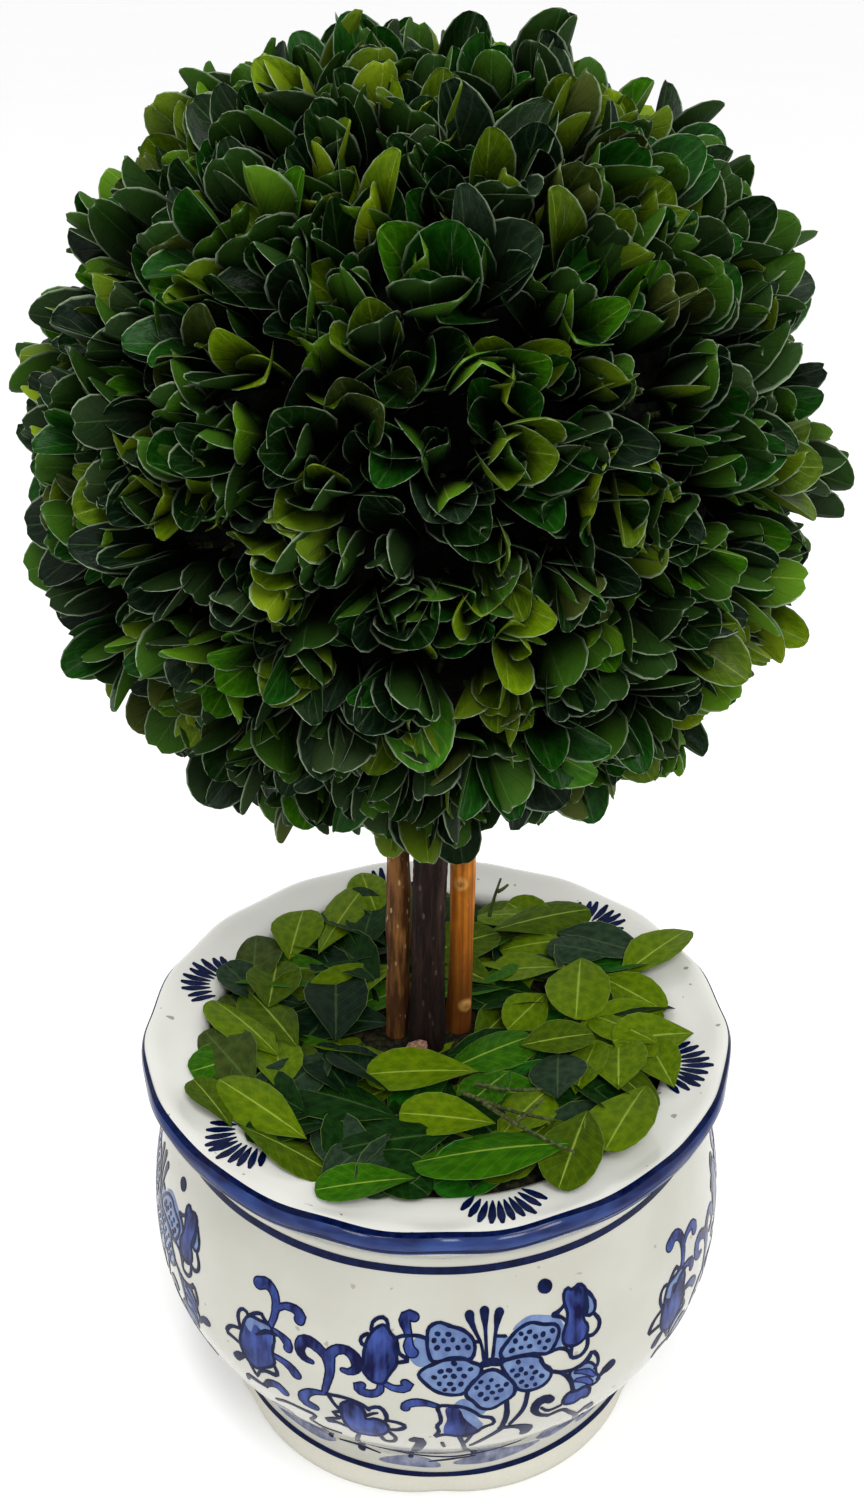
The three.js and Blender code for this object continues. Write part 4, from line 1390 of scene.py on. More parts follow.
@dataclass(frozen=True)
class LeafForm:
    """One leaf drawn a unit long: a thin closed lens, creased along its midrib, with a blunt tip."""

    name: str
    width: float = 0.6
    widest: float = 0.6
    cup: float = 0.2
    crease: float = 0.06
    bend: float = -0.15
    notch: float = 0.0
    wave: float = 0.0
    thickness: float = 0.028
    taper: float = 0.95
    tip: float = 0.5
    shares: tuple[float, ...] = (0.1, 0.26, 0.44, 0.61, 0.76, 0.875, 0.95, 0.985)

    def build(self) -> Piece:
        """Makes the leaf along +Y from its base, its upper face towards +Z, with its own UV map.

        Returns:
            The leaf.
        """
        inner = np.array(self.shares)
        swell = np.sin(math.pi * inner ** (math.log(0.5) / math.log(self.widest)))
        halves = self.width / 2 * swell ** np.where(inner > self.widest, self.tip, self.taper)
        across = np.array([-1, -0.5, 0, 0.5, 1])
        pull = self.notch * inner[:, None] ** 8 * (1 - np.abs(across))
        x = halves[:, None] * across
        y = inner[:, None] - pull
        z = (
            self.cup * halves[:, None] * across ** 2 + self.crease * np.abs(across) ** 0.8
            * np.sin(math.pi * inner[:, None] ** 0.7) + self.bend * inner[:, None] ** 2
            + self.wave * across * np.sin(5.5 * inner[:, None])
        )
        thick = self.thickness * (1 - across ** 2) * np.sqrt(halves[:, None] / halves.max())
        tip = (0, 1 - self.notch, self.bend + self.crease * 0.2)
        count = len(inner)
        points, uvs, index = [(0, 0, 0), tip], {0: (0, 0), 1: (0, 1)}, {}
        for row in range(count):
            for column in range(5):
                for side in (1, -1):
                    if side < 0 and column in (0, 4):
                        index[row, column, side] = index[row, column, 1]
                        continue
                    index[row, column, side] = len(points)
                    uvs[len(points)] = (across[column], inner[row])
                    points.append((x[row, column], y[row, column], z[row, column] + side * thick[row, column] / 2))
        faces, sides = [], []
        for side in (1, -1):
            for column in range(4):
                near = [index[0, column, side], index[0, column + 1, side]]
                far = [index[count - 1, column, side], index[count - 1, column + 1, side]]
                made = [(0, near[1], near[0]), (1, far[0], far[1])]
                for row in range(count - 1):
                    a, b = index[row, column, side], index[row, column + 1, side]
                    c, d = index[row + 1, column + 1, side], index[row + 1, column, side]
                    made.append((a, b, c, d))
                for face in made:
                    faces.append(face if side > 0 else face[::-1])
                    sides.append((side, column))
        mesh = bpy.data.meshes.new(self.name)
        mesh.from_pydata(points, [], faces)
        mesh.polygons.foreach_set("use_smooth", [True] * len(faces))
        layer = mesh.uv_layers.new(name=LEAF_UV)
        for polygon, (side, column) in zip(mesh.polygons, sides):
            middle = 0.25 if side > 0 else 0.75
            for loop in polygon.loop_indices:
                vertex = mesh.loops[loop].vertex_index
                u, v = uvs[vertex]
                if vertex < 2:
                    u = (across[column] + across[column + 1]) / 2
                layer.data[loop].uv = (middle + LEAF_UV_HALF / 2 * u, 0.02 + 0.96 * v)
        rim = {index[row, column, 1] for row in range(count) for column in (0, 4)} | {0, 1}
        sharp = mesh.attributes.new("sharp_edge", "BOOLEAN", "EDGE")
        sharp.data.foreach_set("value", [
            all(v in rim for v in edge.vertices) and edge.vertices[0] != edge.vertices[1] for edge in mesh.edges
        ])
        mesh.update()
        return link(self.name, mesh)


FLAT_SHARES = (0.03, 0.1, 0.26, 0.44, 0.61, 0.76, 0.875, 0.95, 0.985)

LEAF_FORMS: tuple[LeafForm, ...] = (
    LeafForm("leaf_rounded", width=0.5, widest=0.66, cup=0.34, crease=0.04, bend=-0.06),
    LeafForm("leaf_notched", width=0.54, widest=0.69, cup=0.26, crease=0.03, bend=0.06, notch=0.04),
    LeafForm("leaf_cupped", width=0.47, widest=0.66, cup=0.7, crease=0.02, bend=0.14),
    LeafForm("leaf_curled", width=0.45, widest=0.64, cup=0.45, crease=0.06, bend=-0.22, notch=0.02),
    LeafForm(
        "leaf_flat_broad", width=0.6, widest=0.6, cup=-0.16, crease=0.02, bend=-0.1, wave=0.02, taper=0.76, tip=0.4,
        shares=FLAT_SHARES,
    ),
    LeafForm(
        "leaf_flat_long", width=0.5, widest=0.57, cup=0.16, crease=0.02, bend=-0.07, wave=-0.03, taper=0.82, tip=0.42,
        shares=FLAT_SHARES,
    ),
)
CROWN_FORMS, FLAT_FORMS = (0, 4), (4, 6)


@dataclass(frozen=True)
class LeafSite:
    """Where one leaf grows: its root, the way it points, its upper face's way, and its size."""

    place: np.ndarray
    along: np.ndarray
    up: np.ndarray
    length: float
    broad: float
    form: int

    def turn(self) -> Spot:
        """Gives the leaf's turn as Euler angles.

        Returns:
            The three angles.
        """
        along = self.along / np.linalg.norm(self.along)
        up = self.up - along * float(self.up @ along)
        up /= np.linalg.norm(up)
        across = np.cross(along, up)
        return tuple(Matrix(np.column_stack([across, along, up]).tolist()).to_euler())

    @property
    def tip(self) -> np.ndarray:
        """Where the leaf's tip is."""
        return self.place + self.along / np.linalg.norm(self.along) * self.length


class PlantTrees:
    """The geometry node trees that set leaves on points and give branching lines their thickness."""

    twist = 0.06
    sides = 6

    def __init__(self, forms: Sequence[LeafForm]) -> None:
        """Makes the leaf forms and both trees.

        Args:
            forms: The leaf forms, in the order of their numbers.
        """
        self.leaves = [form.build() for form in forms]
        self.leaf_tree = self._leaf_tree()
        self.twig_tree = self._twig_tree()

    @staticmethod
    def _tree(name: str) -> NodeTree:
        """Starts a tree for a modifier.

        Args:
            name: The tree's name.

        Returns:
            The empty tree.
        """
        tree = bpy.data.node_groups.new(name, "GeometryNodeTree")
        tree.is_modifier = True
        return tree

    @staticmethod
    def _socket(tree: NodeTree, name: str, kind: str, value: object = None) -> str:
        """Adds a named input to a tree and gives its identifier.

        Args:
            tree: The tree to add to.
            name: The input's name.
            kind: Its socket type.
            value: Its usual value.

        Returns:
            The identifier.
        """
        socket = tree.interface.new_socket(name, in_out="INPUT", socket_type=kind)
        if value is not None:
            socket.default_value = value
        return socket.identifier

    @staticmethod
    def _attribute(sheet: NodeSheet, name: str, kind: str) -> Socket:
        """Reads an attribute of the points."""
        return sheet.add("GeometryNodeInputNamedAttribute", {"Name": name}, data_type=kind).outputs[0]

    @staticmethod
    def _finish(sheet: NodeSheet, geometry: Socket, finish: Socket) -> None:
        """Ends a tree with real geometry that wears its finish.

        Args:
            sheet: The nodes to add to.
            geometry: What the tree has made.
            finish: The material's input.
        """
        real = sheet.add("GeometryNodeRealizeInstances", {"Geometry": geometry}).outputs[0]
        worn = sheet.add("GeometryNodeSetMaterial", {"Geometry": real, "Material": finish}).outputs[0]
        sheet.add("NodeGroupOutput", {0: worn})

    def _leaf_tree(self) -> NodeTree:
        """Builds the tree that sets one of the leaf forms on each point.

        Returns:
            The tree.
        """
        tree = self._tree("Leaves On Points")
        self._socket(tree, "Points", "NodeSocketGeometry")
        self.leaf_size = self._socket(tree, "Leaf Length", "NodeSocketFloat", MM)
        self.leaf_twist = self._socket(tree, "Twist", "NodeSocketFloat", self.twist)
        self.leaf_seed = self._socket(tree, "Seed", "NodeSocketInt", 5)
        self.leaf_material = self._socket(tree, "Finish", "NodeSocketMaterial")
        tree.interface.new_socket("Leaves", in_out="OUTPUT", socket_type="NodeSocketGeometry")
        sheet = NodeSheet(tree)
        given = sheet.add("NodeGroupInput").outputs
        joined = sheet.add("GeometryNodeJoinGeometry")
        for leaf in reversed(self.leaves):
            info = sheet.add("GeometryNodeObjectInfo", {"Object": leaf, "As Instance": True})
            tree.links.new(info.outputs["Geometry"], joined.inputs[0])
        turn, size = (self._attribute(sheet, name, "FLOAT_VECTOR") for name in ("turn", "size"))
        low = sheet.math("MULTIPLY", given["Twist"], -1.0)
        between = {2: low, 3: given["Twist"], "Seed": given["Seed"]}
        sway = sheet.add("FunctionNodeRandomValue", between, data_type="FLOAT").outputs[1]
        twist = sheet.add("ShaderNodeCombineXYZ", {1: sway}).outputs[0]
        turned = sheet.add("FunctionNodeRotateRotation", {0: turn, 1: twist}, rotation_space="LOCAL").outputs[0]
        placed = sheet.add("GeometryNodeInstanceOnPoints", {
            "Points": given["Points"], "Instance": joined.outputs[0], "Pick Instance": True,
            "Instance Index": self._attribute(sheet, "form", "INT"), "Rotation": turned,
            "Scale": sheet.scaled(size, given["Leaf Length"]),
        })
        self._finish(sheet, placed.outputs[0], given["Finish"])
        return tree

    def _twig_tree(self) -> NodeTree:
        """Builds the tree that turns edges with a girth attribute into closed twigs.

        Returns:
            The tree.
        """
        tree = self._tree("Twigs On Lines")
        self._socket(tree, "Lines", "NodeSocketGeometry")
        self.twig_sides = self._socket(tree, "Sides", "NodeSocketInt", self.sides)
        self.twig_material = self._socket(tree, "Finish", "NodeSocketMaterial")
        tree.interface.new_socket("Twigs", in_out="OUTPUT", socket_type="NodeSocketGeometry")
        sheet = NodeSheet(tree)
        given = sheet.add("NodeGroupInput").outputs
        line = sheet.add("GeometryNodeMeshToCurve", {"Mesh": given["Lines"]}).outputs[0]
        circle = sheet.add("GeometryNodeCurvePrimitiveCircle", {"Resolution": given["Sides"], "Radius": 1.0}).outputs[0]
        girth = self._attribute(sheet, "girth", "FLOAT")
        body = sheet.add("GeometryNodeCurveToMesh", {
            "Curve": line, "Profile Curve": circle, "Scale": girth, "Fill Caps": True,
        }).outputs[0]
        smooth = sheet.add("GeometryNodeSetShadeSmooth", {"Geometry": body}).outputs[0]
        self._finish(sheet, smooth, given["Finish"])
        return tree

    @staticmethod
    def _bake(name: str, mesh: bpy.types.Mesh, tree: NodeTree, values: dict[str, object]) -> Piece:
        """Runs a tree on a mesh and gives the result as a plain object.

        Args:
            name: The finished piece's name.
            mesh: The points or lines that the tree starts from.
            tree: The geometry node tree.
            values: Values of the tree's inputs by socket identifier.

        Returns:
            The finished object, without the modifier.
        """
        source = link(name + "_source", mesh)
        modifier = source.modifiers.new("Grow", "NODES")
        modifier.node_group = tree
        for identifier, value in values.items():
            modifier[identifier] = value
        graph = bpy.context.evaluated_depsgraph_get()
        made = bpy.data.meshes.new_from_object(source.evaluated_get(graph), depsgraph=graph)
        made.name = name
        bpy.data.objects.remove(source)
        return link(name, made)

    def grow_leaves(self, name: str, sites: Sequence[LeafSite], material: Material, seed: int) -> Piece:
        """Sets leaves of one tint at their sites and gives them as one piece.

        Args:
            name: The piece's name.
            sites: Where the leaves grow.
            material: The material that it wears.
            seed: Seed of their small twists.

        Returns:
            The piece.
        """
        mesh = bpy.data.meshes.new(name + "_points")
        mesh.from_pydata([tuple(site.place * MM) for site in sites], [], [])
        turns = np.array([site.turn() for site in sites], np.float32)
        sizes = np.array([(site.length * site.broad, site.length, site.length) for site in sites], np.float32)
        mesh.attributes.new("turn", "FLOAT_VECTOR", "POINT").data.foreach_set("vector", turns.ravel())
        mesh.attributes.new("size", "FLOAT_VECTOR", "POINT").data.foreach_set("vector", sizes.ravel())
        mesh.attributes.new("form", "INT", "POINT").data.foreach_set("value", [site.form for site in sites])
        return self._bake(name, mesh, self.leaf_tree, {
            self.leaf_size: MM, self.leaf_twist: self.twist, self.leaf_seed: seed, self.leaf_material: material,
        })

    def grow_twigs(self, name: str, lines: Sequence[TwigLine], material: Material) -> Piece:
        """Gives lines of points with radii, in millimetres, as one piece of closed twigs.

        Args:
            name: The piece's name.
            lines: Points and radii of each twig, in millimetres.
            material: The material that it wears.

        Returns:
            The piece.
        """
        points, edges, girths = [], [], []
        for line, radii in lines:
            edges += [(len(points) + i, len(points) + i + 1) for i in range(len(line) - 1)]
            points += [tuple(point * MM) for point in line]
            girths += [radius * MM for radius in radii]
        mesh = bpy.data.meshes.new(name + "_lines")
        mesh.from_pydata(points, edges, [])
        mesh.attributes.new("girth", "FLOAT", "POINT").data.foreach_set("value", girths)
        return self._bake(name, mesh, self.twig_tree, {self.twig_sides: self.sides, self.twig_material: material})

    def clear(self) -> None:
        """Removes the leaf forms, which aren't part of the plant."""
        for leaf in self.leaves:
            bpy.data.objects.remove(leaf)


def smooth_bark(spot: Vector) -> float:
    """Relief of young smooth bark: slow swellings and fine upright wrinkles."""
    slow = noise.noise(spot * 0.12) * 0.35
    return slow + noise.noise(Vector((spot.x * 1.6, spot.y * 1.6, spot.z * 0.22))) * 0.13


def ridged_bark(spot: Vector) -> float:
    """Relief of old dark bark: long ridges with scuffs across them."""
    ridges = abs(noise.noise(Vector((spot.x * 0.9, spot.y * 0.9, spot.z * 0.09)))) * -0.7
    return 0.15 + ridges + noise.noise(spot * 0.9) * 0.14 + noise.noise(spot * 0.1) * 0.3


def peeled_wood(spot: Vector) -> float:
    """Relief of peeled wood: faint facets of the knife and fine grain."""
    facets = noise.noise(Vector((spot.x * 0.35, spot.y * 0.35, spot.z * 0.03))) * 0.4
    return facets + noise.noise(Vector((spot.x * 2.4, spot.y * 2.4, spot.z * 0.1))) * 0.06


@dataclass(frozen=True)
class Knot:
    """A swelling of a stick, at an azimuth in degrees and a height."""

    azimuth: float
    height: float
    reach: float
    rise: float


@dataclass
class Stick:
    """One stick between the mulch and the crown, a little bowed.

    Its relief takes a place on the stick and gives the change of radius there.
    """

    name: str
    wood: WoodFinish
    foot: Point
    head: Point
    radii: Point
    bow: float
    relief: Callable[[Vector], float]
    knots: tuple[Knot, ...] = ()
    low: float = 50.0
    high: float = 208.0
    mulch_height: float = 92.0
    underside: float = 152.0
    columns: int = 48
    row_step: float = 0.75

    def centre(self, height: float) -> np.ndarray:
        """Gives the middle of the stick at a height.

        Args:
            height: Height over the ground.

        Returns:
            The middle.
        """
        share = (height - self.mulch_height) / (self.underside - self.mulch_height)
        spot = np.array(self.foot) * (1 - share) + np.array(self.head) * share
        return np.array([spot[0] + self.bow * math.sin(math.pi * share), spot[1], height])

    def radius(self, height: float) -> float:
        """Gives the mean radius at a height."""
        share = (height - self.low) / (self.high - self.low)
        return self.radii[0] * (1 - share) + self.radii[1] * share

    def build(self) -> None:
        """Makes the stick in place of its CAD node."""
        heights = np.linspace(self.low, self.high, round((self.high - self.low) / self.row_step))
        angles = np.linspace(0, 2 * math.pi, self.columns, endpoint=False)
        rings = [np.repeat(self.centre(self.low)[None], self.columns, axis=0)]
        for height in heights:
            middle, size = self.centre(height), self.radius(height)
            ring = []
            for angle in angles:
                way = np.array([math.cos(angle), math.sin(angle), 0])
                swell = self.relief(Vector(middle + way * size))
                for knot in self.knots:
                    turn = math.remainder(angle - math.radians(knot.azimuth), 2 * math.pi) * size
                    away = (turn / knot.reach) ** 2 + ((height - knot.height) / knot.reach) ** 2
                    swell += knot.rise * math.exp(-away)
                ring.append(middle + way * (size + swell))
            rings.append(np.array(ring))
        rings.append(np.repeat(self.centre(self.high)[None], self.columns, axis=0))
        piece = turned_piece(f"{self.name}_wood", np.array(rings), self.wood.material())
        settle(piece, self.wood.name, self.name)


class Spray(Enum):
    """Tints of the leaves, by the part of the plant that wears them."""

    BLUE_GREEN = "blue_green"
    DARK = "dark"
    GREY_GREEN = "grey_green"
    MIDDLE = "middle"
    FRESH = "fresh"
    OLIVE = "olive"
    LIME = "lime"
    MOSSY = "mossy"


def leaf_finish(spray: Spray, place: str) -> LeafFinish:
    """Gives the leaf finish of a tint for the crown or the mulch.

    Args:
        spray: The tint.
        place: The part of the plant, crown or mulch.

    Returns:
        The finish.
    """
    faces = {
        Spray.BLUE_GREEN: (srgb(14, 36, 18), srgb(7, 22, 10), srgb(26, 48, 14)),
        Spray.DARK: (srgb(15, 46, 8), srgb(8, 30, 5), srgb(30, 60, 10)),
        Spray.GREY_GREEN: (srgb(38, 56, 38), srgb(24, 40, 25), srgb(42, 62, 28)),
        Spray.MIDDLE: (srgb(22, 78, 8), srgb(14, 56, 6), srgb(50, 88, 12)),
        Spray.FRESH: (srgb(62, 122, 6), srgb(44, 98, 5), srgb(82, 124, 14)),
        Spray.OLIVE: (srgb(86, 112, 8), srgb(66, 92, 6), srgb(86, 110, 8)),
        Spray.LIME: (srgb(118, 146, 8), srgb(92, 124, 6), srgb(116, 140, 10)),
        Spray.MOSSY: (srgb(54, 68, 20), srgb(40, 52, 14), srgb(68, 80, 26)),
    }
    mulch = place == "mulch"
    bright = spray in (Spray.FRESH, Spray.OLIVE, Spray.LIME)
    share = (0.57 if bright else 1.15) if mulch else 0.76
    face, deep, underside = (tuple(value * share for value in tone[:3]) + (1.0,) for tone in faces[spray])
    return LeafFinish(
        name=f"{place}_{spray.value}", face=face, deep=deep,
        rib=srgb(176, 198, 84) if bright else srgb(96, 126, 74),
        rim=srgb(110, 134, 66) if mulch else srgb(160, 178, 146),
        underside=underside, margin=0.03 if mulch else 0.08,
        veins=9.0 if mulch else 7.0, vein_share=0.03 if mulch else 0.05,
        rib_share=0.5 if mulch and bright else 0.3,
        # Painted shade towards each leaf's base, in the crown only.
        painted_shade_share=0.0 if mulch else 1.0, sheen=0.03 if mulch else 0.09,
        roughness=0.46 if mulch else 0.34,
    )


class Foliage:
    """The leaves of one part of the plant, dealt out by tint, one piece of each tint."""

    def __init__(self, place: str, shares: Sequence[tuple[Spray, float]], random: np.random.Generator) -> None:
        """Starts with no leaves of any tint.

        Args:
            place: The part of the plant.
            shares: How much there is of each tint.
            random: Seeded random numbers.
        """
        self.place, self.random = place, random
        self.sites: dict[Spray, list[LeafSite]] = {spray: [] for spray, _ in shares}
        self.weights = np.array([share for _, share in shares])

    def deal(self) -> Spray:
        """Draws a tint by its share."""
        return list(self.sites)[int(self.random.choice(len(self.sites), p=self.weights / self.weights.sum()))]

    def build(self, trees: PlantTrees, seed: int) -> None:
        """Makes the pieces, with a seed for the small twist of each leaf.

        Args:
            trees: The geometry node trees.
            seed: Seed of the small twist of each leaf.
        """
        for spray, sites in self.sites.items():
            material = leaf_finish(spray, self.place).material()
            piece = trees.grow_leaves(f"{self.place}_leaves_{spray.value}", sites, material, seed)
            settle(piece, f"{self.place}_leaves", self.place)


@dataclass(frozen=True)
class LooseLeaf:
    """One loose leaf that the photo shows on the heap: its stalk end, heading in degrees and size."""

    root: Point
    heading: float
    length: float
    width: float
    layer: int
    spray: Spray


LOOSE_LEAVES: tuple[LooseLeaf, ...] = (
    # Left of the sticks, from the back to the front
    LooseLeaf((-35, 22), 84, 20, 13, 1, Spray.LIME),
    LooseLeaf((-28, 23), 71, 32, 12, 2, Spray.LIME),
    LooseLeaf((-14, 38), 106, 20, 11, 1, Spray.LIME),
    LooseLeaf((-42, 9), 95, 23, 13, 1, Spray.MOSSY),
    LooseLeaf((-38, 3), 88, 18, 13, 2, Spray.OLIVE),
    LooseLeaf((-30, -11), 121, 26, 12, 2, Spray.OLIVE),
    LooseLeaf((-34, -14), 127, 28, 12, 3, Spray.LIME),
    LooseLeaf((-38, -24), 125, 25, 15, 3, Spray.MOSSY),
    LooseLeaf((-33, -24), 97, 17, 11, 2, Spray.LIME),
    LooseLeaf((-22, -10), 93, 29, 15, 3, Spray.BLUE_GREEN),
    LooseLeaf((-13, 11), 122, 25, 13, 2, Spray.DARK),
    LooseLeaf((-12, 27), 133, 22, 12, 1, Spray.DARK),
    # Front left
    LooseLeaf((-42, -34), 124, 17, 9, 2, Spray.OLIVE),
    LooseLeaf((-26, -40), 138, 28, 10.5, 5, Spray.LIME),
    LooseLeaf((-41, -34), 331, 24, 10, 3, Spray.OLIVE),
    LooseLeaf((-27, -31), 141, 20, 12, 3, Spray.DARK),
    LooseLeaf((-8, -33), 152, 28, 13, 3, Spray.DARK),
    LooseLeaf((-17, -27), 118, 22, 11, 1, Spray.BLUE_GREEN),
    LooseLeaf((-9, -27), 129, 21, 11, 4, Spray.BLUE_GREEN),
    LooseLeaf((-22, -45), 68, 20, 12, 1, Spray.DARK),
    # Front
    LooseLeaf((9, -21), 180, 24, 12, 5, Spray.LIME),
    LooseLeaf((0, -20), 32, 25, 11, 2, Spray.FRESH),
    LooseLeaf((16, -17), 229, 16, 10, 1, Spray.FRESH),
    LooseLeaf((12, -36), 171, 20, 10, 5, Spray.LIME),
    LooseLeaf((3, -38), 186, 24, 16, 4, Spray.DARK),
    LooseLeaf((-14, -42), 320, 16, 11, 2, Spray.DARK),
    LooseLeaf((27, -42), 186, 32, 14, 6, Spray.FRESH),
    LooseLeaf((-4, -49), 189, 20, 9, 3, Spray.FRESH),
    LooseLeaf((2, -25), 312, 18, 11, 2, Spray.DARK),
    # Front right
    LooseLeaf((12, -39), 55, 20, 11, 3, Spray.LIME),
    LooseLeaf((31, -31), 250, 22, 13, 4, Spray.OLIVE),
    LooseLeaf((44, -24), 240, 22, 15, 5, Spray.LIME),
    LooseLeaf((25, -28), 86, 16, 13, 4, Spray.GREY_GREEN),
    LooseLeaf((29, -25), 72, 18, 10, 2, Spray.LIME),
    LooseLeaf((38, -25), 84, 17, 13, 4, Spray.LIME),
    LooseLeaf((50, -23), 104, 16, 10, 3, Spray.LIME),
    LooseLeaf((37, -20), 214, 16, 10, 1, Spray.DARK),
    # Right of the sticks, from the front to the back
    LooseLeaf((18, -11), 14, 17, 9, 3, Spray.OLIVE),
    LooseLeaf((57, -5), 193, 19, 12, 2, Spray.LIME),
    LooseLeaf((48, -11), 139, 18, 10, 5, Spray.LIME),
    LooseLeaf((34, 20), 262, 23, 15, 4, Spray.LIME),
    LooseLeaf((38, 15), 318, 18, 11, 2, Spray.LIME),
    LooseLeaf((25, 8), 233, 15, 10, 2, Spray.LIME),
    LooseLeaf((31, 17), 180, 18, 13, 3, Spray.LIME),
    LooseLeaf((32, 29), 191, 17, 10, 2, Spray.LIME),
    LooseLeaf((41, 21), 163, 15, 11, 4, Spray.GREY_GREEN),
    LooseLeaf((29, 31), 340, 21, 13, 3, Spray.GREY_GREEN),
    LooseLeaf((13, 30), 25, 28, 12, 4, Spray.OLIVE),
    LooseLeaf((27, 38), 172, 17, 11, 3, Spray.LIME),
    LooseLeaf((43, 15), 41, 23, 13, 2, Spray.LIME),
    LooseLeaf((21, 24), 220, 16, 11, 1, Spray.FRESH),
    LooseLeaf((23, 8), 163, 16, 13, 1, Spray.DARK),
)


@dataclass
class Mulch:
    """Loose flat leaves over the filling: those the photo shows, over a bed laid by rule."""

    trees: PlantTrees
    leaves: int = 120
    inner: float = 13.0
    outer: float = 46.0
    reach: float = 56.0
    length: float = 21.0
    layer_rise: float = 0.75
    clearance: float = 0.8
    seed: int = 1203
    shares: tuple[tuple[Spray, float], ...] = (
        (Spray.DARK, 0.2), (Spray.MOSSY, 0.08), (Spray.MIDDLE, 0.08), (Spray.BLUE_GREEN, 0.12),
        (Spray.GREY_GREEN, 0.08), (Spray.OLIVE, 0.18), (Spray.FRESH, 0.08), (Spray.LIME, 0.18),
    )
    crest: float = 93.4
    fall: float = 1.2
    fall_radius: float = 50.0
    rim_radius: float = 51.6
    rim_height: float = 92.0
    rim_slope: float = 0.19
    rim_start: float = 47.0
    loose_twigs: tuple[tuple[Spot, Spot, float], ...] = (
        ((9.4, -32.3, 98.6), (27, -46, 98.4), 0.2), ((15, -38, 98.4), (22, -30, 98), 0.3),
        ((5, -28, 97.6), (24, -36.5, 97.8), 0.4), ((8, -25, 97.2), (22, -27, 97.4), 0.3),
        ((13, 36, 96), (15.8, 40, 104.5), -0.4), ((15, 38.6, 101.6), (17.6, 40, 102.6), 0),
    )
    chip_place: Spot = (-4.4, -12.6, 96.4)
    chip_outline: tuple[Point, ...] = ((-2.6, -0.8), (-0.6, -1.8), (2, -1.3), (2.6, 0.4), (0.8, 1.6), (-2, 1.1))

    def surface(self, radius: float) -> float:
        """Gives the height of the heap at a radius."""
        return self.crest - self.fall * (radius / self.fall_radius) ** 2

    def site(
        self, root: np.ndarray, heading: float, length: float, broad: float, lift: float, roll: float, form: int,
    ) -> LeafSite:
        """Lays one leaf along the heap with its own lift and roll.

        Args:
            root: The leaf's stalk end.
            heading: The way it points.
            length: Its length.
            broad: Its breadth beside its form's own.
            lift: How steeply its tip rises.
            roll: How far it leans over.
            form: The number of its form.

        Returns:
            The leaf's site.
        """
        way = np.array([math.cos(heading), math.sin(heading), 0.0])
        middle = root + way * length / 2
        radius = math.hypot(*middle[:2])
        slope = -2 * self.fall * radius / self.fall_radius ** 2
        outward = np.array([*middle[:2], 0.0]) / max(radius, 1e-6)
        up = np.array([0, 0, 1.0]) - outward * slope + np.cross(way, [0, 0, 1.0]) * roll
        root = root + np.array([0, 0, self.sunk(root, self.clearance)])
        along = way + np.array([0, 0, slope * float(way @ outward) + lift])
        along[2] += self.sunk(root + along * length, self.clearance + 0.09 * length) / length
        return LeafSite(root, along, up, length, broad, form)

    def sunk(self, point: np.ndarray, above: float) -> float:
        """Tells how far a point must rise to lie a distance above the pot's rim, where it is over the rim.

        Args:
            point: A point in millimetres.
            above: The distance to keep.

        Returns:
            The rise.
        """
        radius = math.hypot(*point[:2])
        rim = self.rim_height + self.rim_slope * (radius - self.rim_radius)
        return max(0.0, rim + above - point[2]) if radius > self.rim_start else 0.0

    def placed(self, leaf: LooseLeaf, random: np.random.Generator) -> LeafSite:
        """Lays one of the leaves that the photo shows.

        Args:
            leaf: The leaf.
            random: Seeded random numbers.

        Returns:
            Its site.
        """
        height = self.surface(math.hypot(*leaf.root)) + self.layer_rise * leaf.layer
        form = int(random.integers(*FLAT_FORMS))
        broad = leaf.width / leaf.length / LEAF_FORMS[form].width
        return self.site(
            np.array([*leaf.root, height]), math.radians(leaf.heading), leaf.length, broad,
            random.uniform(-0.03, 0.09), random.uniform(-0.38, 0.38), form,
        )

    def scraps(self, twig: Material, chip: Material) -> None:
        """Makes the loose twigs and the chip of wood at the foot of the sticks.

        Args:
            twig: The bark of the twigs.
            chip: The bare wood of the chip.
        """
        lines = []
        for start, end, sag in self.loose_twigs:
            line = np.linspace(start, end, 6) - np.outer(np.sin(np.linspace(0, math.pi, 6)), (0.2, 0.6, sag))
            lines.append((line, np.linspace(0.55, 0.3, 6)))
        settle(self.trees.grow_twigs("mulch_twigs", lines, twig), "mulch_leaves", "mulch")
        count = len(self.chip_outline)
        low = np.column_stack([np.array(self.chip_outline), np.full(count, -0.9)])
        high = low * (0.86, 0.8, -1) + np.outer(low[:, 0], (0, 0, 0.2))
        sides = [(i, (i + 1) % count, (i + 1) % count + count, i + count) for i in range(count)]
        faces = [tuple(range(count))[::-1], tuple(range(count, 2 * count)), *sides]
        piece = make_piece("mulch_chip", np.vstack([low, high]) + np.array(self.chip_place), faces, chip)
        settle(piece, "mulch_leaves", "mulch")

